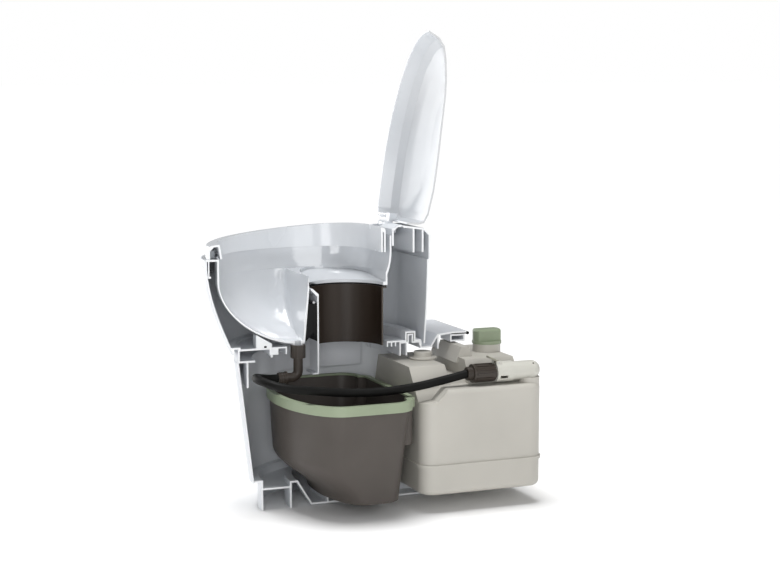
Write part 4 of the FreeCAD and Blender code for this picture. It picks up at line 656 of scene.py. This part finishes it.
class DRYTOILET_OT_hose(bpy.types.Operator):
    """Lay the black hose from the drain elbow to the tank's coupling"""

    bl_idname = "drytoilet.hose"
    bl_label = "Hose"

    def execute(self, context):
        settings = context.scene.dry_hose
        curve = bpy.data.curves.new("urine_hose", "CURVE")
        curve.dimensions = "3D"
        spline = curve.splines.new("NURBS")
        spline.points.add(len(HOSE_ROUTE) - 1)
        for point, place in zip(spline.points, HOSE_ROUTE):
            point.co = (*place, 1.0)
        spline.order_u = 3
        spline.use_endpoint_u = True
        curve.resolution_u = 24
        curve.bevel_depth = settings.diameter / 2
        curve.bevel_resolution = 8
        curve.use_fill_caps = True
        curve.materials.append(finish("hose_rubber"))
        hose = bpy.data.objects.new("urine_hose", curve)
        context.scene.collection.objects.link(hose)
        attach(hose, "stand")
        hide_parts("hose")
        return {"FINISHED"}


def hose_rubber(material):
    """Dull rubber with faint rings along the hose."""
    nodes, links = material.node_tree.nodes, material.node_tree.links
    place, rings = nodes.new("ShaderNodeTexCoord"), nodes.new("ShaderNodeTexWave")
    rings.bands_direction = "X"
    rings.inputs["Scale"].default_value = 42.0
    rings.inputs["Distortion"].default_value = 0.0
    links.new(place.outputs["UV"], rings.inputs["Vector"])
    shader = nodes["Principled BSDF"]
    relief = nodes.new("ShaderNodeBump")
    relief.inputs["Strength"].default_value = 0.25
    relief.inputs["Distance"].default_value = 0.0004
    links.new(rings.outputs["Color"], relief.inputs["Height"])
    links.new(shader.inputs["Normal"].links[0].from_socket, relief.inputs["Normal"])
    links.new(relief.outputs["Normal"], shader.inputs["Normal"])
    return material


class DRYTOILET_OT_shells(bpy.types.Operator):
    """Finish the outer white shells: housing, hinge deck, base shell and pan"""

    bl_idname = "drytoilet.shells"
    bl_label = "Outer shells"

    def execute(self, context):
        for node in ("upper_housing", "hinge_deck", "base_shell", "base_pan"):
            finished(node, "shell_satin")
        coat_node("hinge_pin", "pin_steel")
        return {"FINISHED"}


class DRYTOILET_OT_bowl(bpy.types.Operator):
    """Finish the bowl, the dark chute and the separator"""

    bl_idname = "drytoilet.bowl"
    bl_label = "Bowl and chute"

    def execute(self, context):
        finished("bowl", "bowl_gloss", sharp=62.0, merge=0.05, soft_valley=True)
        finished("chute", "chute_dark", edge=0.0003)
        finished("separator_wall", "inner_white", edge=0.0003)
        finished("separator_core", "seal_black", edge=0.0004)
        coat_node("separator_pin", "pin_steel")
        coat_node("chute_seal", "seal_black")
        return {"FINISHED"}


class DRYTOILET_OT_seat_and_lid(bpy.types.Operator):
    """Finish the hinged seat with its buffers and the domed lid"""

    bl_idname = "drytoilet.seat_and_lid"
    bl_label = "Seat and lid"

    def execute(self, context):
        finished("seat", "seat_satin", edge=0.0008, top_round=0.004)
        finished("lid", "lid_satin", edge=0.0008, sharp=20.0, merge=0.02)
        # The buffers' light grey is painted shade.
        finished("seat_buffers", "buffer_shade_grey", edge=0.0004)
        return {"FINISHED"}


class DRYTOILET_OT_collar(bpy.types.Operator):
    """Finish the collar, its rib and seal, the front bracket and the rear deck sheets"""

    bl_idname = "drytoilet.collar"
    bl_label = "Collar and rear deck"

    def execute(self, context):
        for node in ("collar_ring", "collar_rib", "front_bracket", "deck_upper", "deck_lower", "tail_block"):
            finished(node, "inner_white", edge=0.0003)
        for node in ("collar_seal", "deck_gasket", "tail_seal"):
            coat_node(node, "seal_black")
        return {"FINISHED"}


class DRYTOILET_OT_solids_bin(bpy.types.Operator):
    """Finish the brown solids bin and its sage rim"""

    bl_idname = "drytoilet.solids_bin"
    bl_label = "Solids bin"

    def execute(self, context):
        finished("solids_bin", "bin_brown", edge=0.0008)
        finished("bin_rim", "rim_sage", edge=0.0012)
        return {"FINISHED"}


class DRYTOILET_OT_tank(bpy.types.Operator):
    """Finish the urine tank, its caps, spout and coupling clip"""

    bl_idname = "drytoilet.tank"
    bl_label = "Urine tank"

    def execute(self, context):
        finished("tank_body", "tank_grey", edge=0.0025)
        finished("fill_cap", "cap_sage", edge=0.001)
        finished("vent_cap", "tank_grey", edge=0.001)
        finished("spout", "spout_pale", edge=0.0006)
        finished("spout_clip", "spout_pale", edge=0.0006)
        finished("coupling_tab", "tab_olive", edge=0.0004)
        coat_node("tab_pin", "pin_steel")
        return {"FINISHED"}


class DRYTOILET_OT_fittings(bpy.types.Operator):
    """Finish the drain nut, the elbow and the hose coupling"""

    bl_idname = "drytoilet.fittings"
    bl_label = "Drain and coupling"

    def execute(self, context):
        for node in ("drain_nut", "drain_elbow", "hose_connector", "hose_ring"):
            finished(node, "fitting_dark", edge=0.0004)
        settings = context.scene.dry_hose
        rib = settings.nut_rib
        low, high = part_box("drain_nut")
        rise = high[2] - low[2]
        repeated("drain_nut_ribs", rib_tree(), "stand", {
            "Count": settings.nut_ribs, "Radius": (high[1] - low[1]) / 2 - rib * NUT_RIB_SINK,
            "Length": rise * NUT_RIB_REACH, "Rib Width": rib,
            "Place": (0.0, (low[1] + high[1]) / 2, low[2] + rise * (1 - NUT_RIB_REACH) / 2),
            "Turn": (0.0, 0.0, 0.0), "Finish": finish("fitting_dark")})
        low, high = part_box("hose_ring")
        self.rings("hose_ring_rings", "hose_ring", settings.grip_radius, rib,
                   across=(low[0] + high[0]) / 2, height=(low[2] + high[2]) / 2)
        self.rings("elbow_rings", "drain_elbow", settings.elbow_radius, rib,
                   across=0.0, height=HOSE_ROUTE[0][2])
        return {"FINISHED"}

    def rings(self, name, node, radius, width, across, height):
        """Fine rings round a fitting that lies along Y."""
        count, pitch, first = RING_ROWS[node]
        repeated(name, ring_tree(), "stand", {
            "Count": count, "Pitch": pitch, "Radius": radius, "Ring Width": width,
            "Place": (across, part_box(node)[0][1] + first, height), "Turn": ALONG_Y,
            "Finish": finish("fitting_dark")})


def soft_light(name, place, target, size, power):
    """Soft box of a width and a height that faces a point."""
    light = bpy.data.lights.new(name, "AREA")
    light.shape = "RECTANGLE"
    light.size, light.size_y = size
    light.energy = power
    lamp = bpy.data.objects.new(name, light)
    lamp.location = place
    lamp.rotation_euler = (Vector(target) - Vector(place)).to_track_quat("-Z", "Y").to_euler()
    bpy.context.scene.collection.objects.link(lamp)
    return lamp


class DRYTOILET_OT_stage(bpy.types.Operator):
    """Set the camera, the pale floor and the soft studio light"""

    bl_idname = "drytoilet.stage"
    bl_label = "Studio"

    def execute(self, context):
        scene, settings = context.scene, context.scene.dry_studio
        camera = bpy.data.cameras.new("photo_camera")
        camera.lens = settings.lens
        camera.sensor_width = 36.0
        camera.clip_end = 200.0
        stand = bpy.data.objects.new("photo_camera", camera)
        stand.location = settings.camera_at
        stand.rotation_euler = settings.camera_turn
        scene.collection.objects.link(stand)
        scene.camera = stand
        scene.view_settings.view_transform = "Standard"
        self.floor(scene, tuple(settings.floor))
        self.world(scene)
        self.overhead(scene)
        soft_light("left_softbox", place=(-2.6, -1.5, 0.9), target=(0.0, 0.1, 0.5), size=(2.4, 2.0),
                   power=50.0)
        soft_light("camera_fill", place=tuple(settings.camera_at), target=(0.0, 0.0, 0.3), size=(1.2, 1.2),
                   power=22.0)
        soft_light("bowl_softbox", place=(2.1, 0.8, 1.1), target=(-0.133, -0.013, 0.384), size=(0.36, 1.8),
                   power=7.5)
        return {"FINISHED"}

    def overhead(self, scene):
        """Wide soft light from above"""
        light = bpy.data.lights.new("overhead_light", "SUN")
        light.energy = OVERHEAD_POWER
        light.angle = OVERHEAD_SPREAD
        lamp = bpy.data.objects.new("overhead_light", light)
        lamp.rotation_euler = Vector(OVERHEAD_WAY).to_track_quat("-Z", "Y").to_euler()
        scene.collection.objects.link(lamp)

    def floor(self, scene, colour):
        """Pale floor without a sheen"""
        mesh = bpy.data.meshes.new("floor")
        signs = ((-1, -1), (1, -1), (1, 1), (-1, 1))
        corners = [(x * FLOOR_REACH, y * FLOOR_REACH, -FLOOR_GAP) for x, y in signs]
        mesh.from_pydata(corners, [], [(0, 1, 2, 3)])
        mesh.materials.append(plastic("pale_floor", colour, deeper(colour, 0.99), rough=(0.8, 0.9),
                                      grain=0.004, bump=0.02, drift=2.0, shine=0.0))
        plane = bpy.data.objects.new("floor", mesh)
        scene.collection.objects.link(plane)

    def world(self, scene):
        """White backdrop, and a dimmer sky that lights the object"""
        world = bpy.data.worlds.new("studio")
        world.use_nodes = True
        nodes, links = world.node_tree.nodes, world.node_tree.links
        sky = nodes["Background"]
        sky.inputs["Color"].default_value = (1, 1, 1, 1)
        sky.inputs["Strength"].default_value = SKY_STRENGTH
        seen = nodes.new("ShaderNodeBackground")
        seen.inputs["Color"].default_value = (1, 1, 1, 1)
        seen.inputs["Strength"].default_value = 1.0
        path, blend = nodes.new("ShaderNodeLightPath"), nodes.new("ShaderNodeMixShader")
        links.new(path.outputs["Is Camera Ray"], blend.inputs["Fac"])
        links.new(sky.outputs["Background"], blend.inputs[1])
        links.new(seen.outputs["Background"], blend.inputs[2])
        links.new(blend.outputs["Shader"], nodes["World Output"].inputs["Surface"])
        scene.world = world


OPERATORS = (DRYTOILET_OT_hose, DRYTOILET_OT_shells, DRYTOILET_OT_bowl, DRYTOILET_OT_seat_and_lid,
             DRYTOILET_OT_collar, DRYTOILET_OT_solids_bin, DRYTOILET_OT_tank, DRYTOILET_OT_fittings,
             DRYTOILET_OT_stage)


class DRYTOILET_PT_panel(bpy.types.Panel):
    """Sidebar panel with one button for each group of pieces"""

    bl_idname = "DRYTOILET_PT_panel"
    bl_label = "Dry toilet"
    bl_space_type = "VIEW_3D"
    bl_region_type = "UI"
    bl_category = "Dry toilet"

    def draw(self, context):
        for operator in OPERATORS:
            self.layout.operator(operator.bl_idname)


SETTINGS = {"dry_shell": ShellFinish, "dry_tank": TankFinish, "dry_hose": HoseFinish,
            "dry_studio": StudioSettings}


def register():
    for group in SETTINGS.values():
        bpy.utils.register_class(group)
    for name, group in SETTINGS.items():
        setattr(bpy.types.Scene, name, PointerProperty(type=group))
    for operator in OPERATORS:
        bpy.utils.register_class(operator)
    bpy.utils.register_class(DRYTOILET_PT_panel)


def unregister():
    bpy.utils.unregister_class(DRYTOILET_PT_panel)
    for operator in reversed(OPERATORS):
        bpy.utils.unregister_class(operator)
    for name, group in SETTINGS.items():
        delattr(bpy.types.Scene, name)
        bpy.utils.unregister_class(group)


def main():
    register()
    bpy.ops.drytoilet.stage()
    bpy.ops.drytoilet.hose()
    bpy.ops.drytoilet.shells()
    bpy.ops.drytoilet.bowl()
    bpy.ops.drytoilet.seat_and_lid()
    bpy.ops.drytoilet.collar()
    bpy.ops.drytoilet.solids_bin()
    bpy.ops.drytoilet.tank()
    bpy.ops.drytoilet.fittings()


if __name__ == "__main__":
    main()
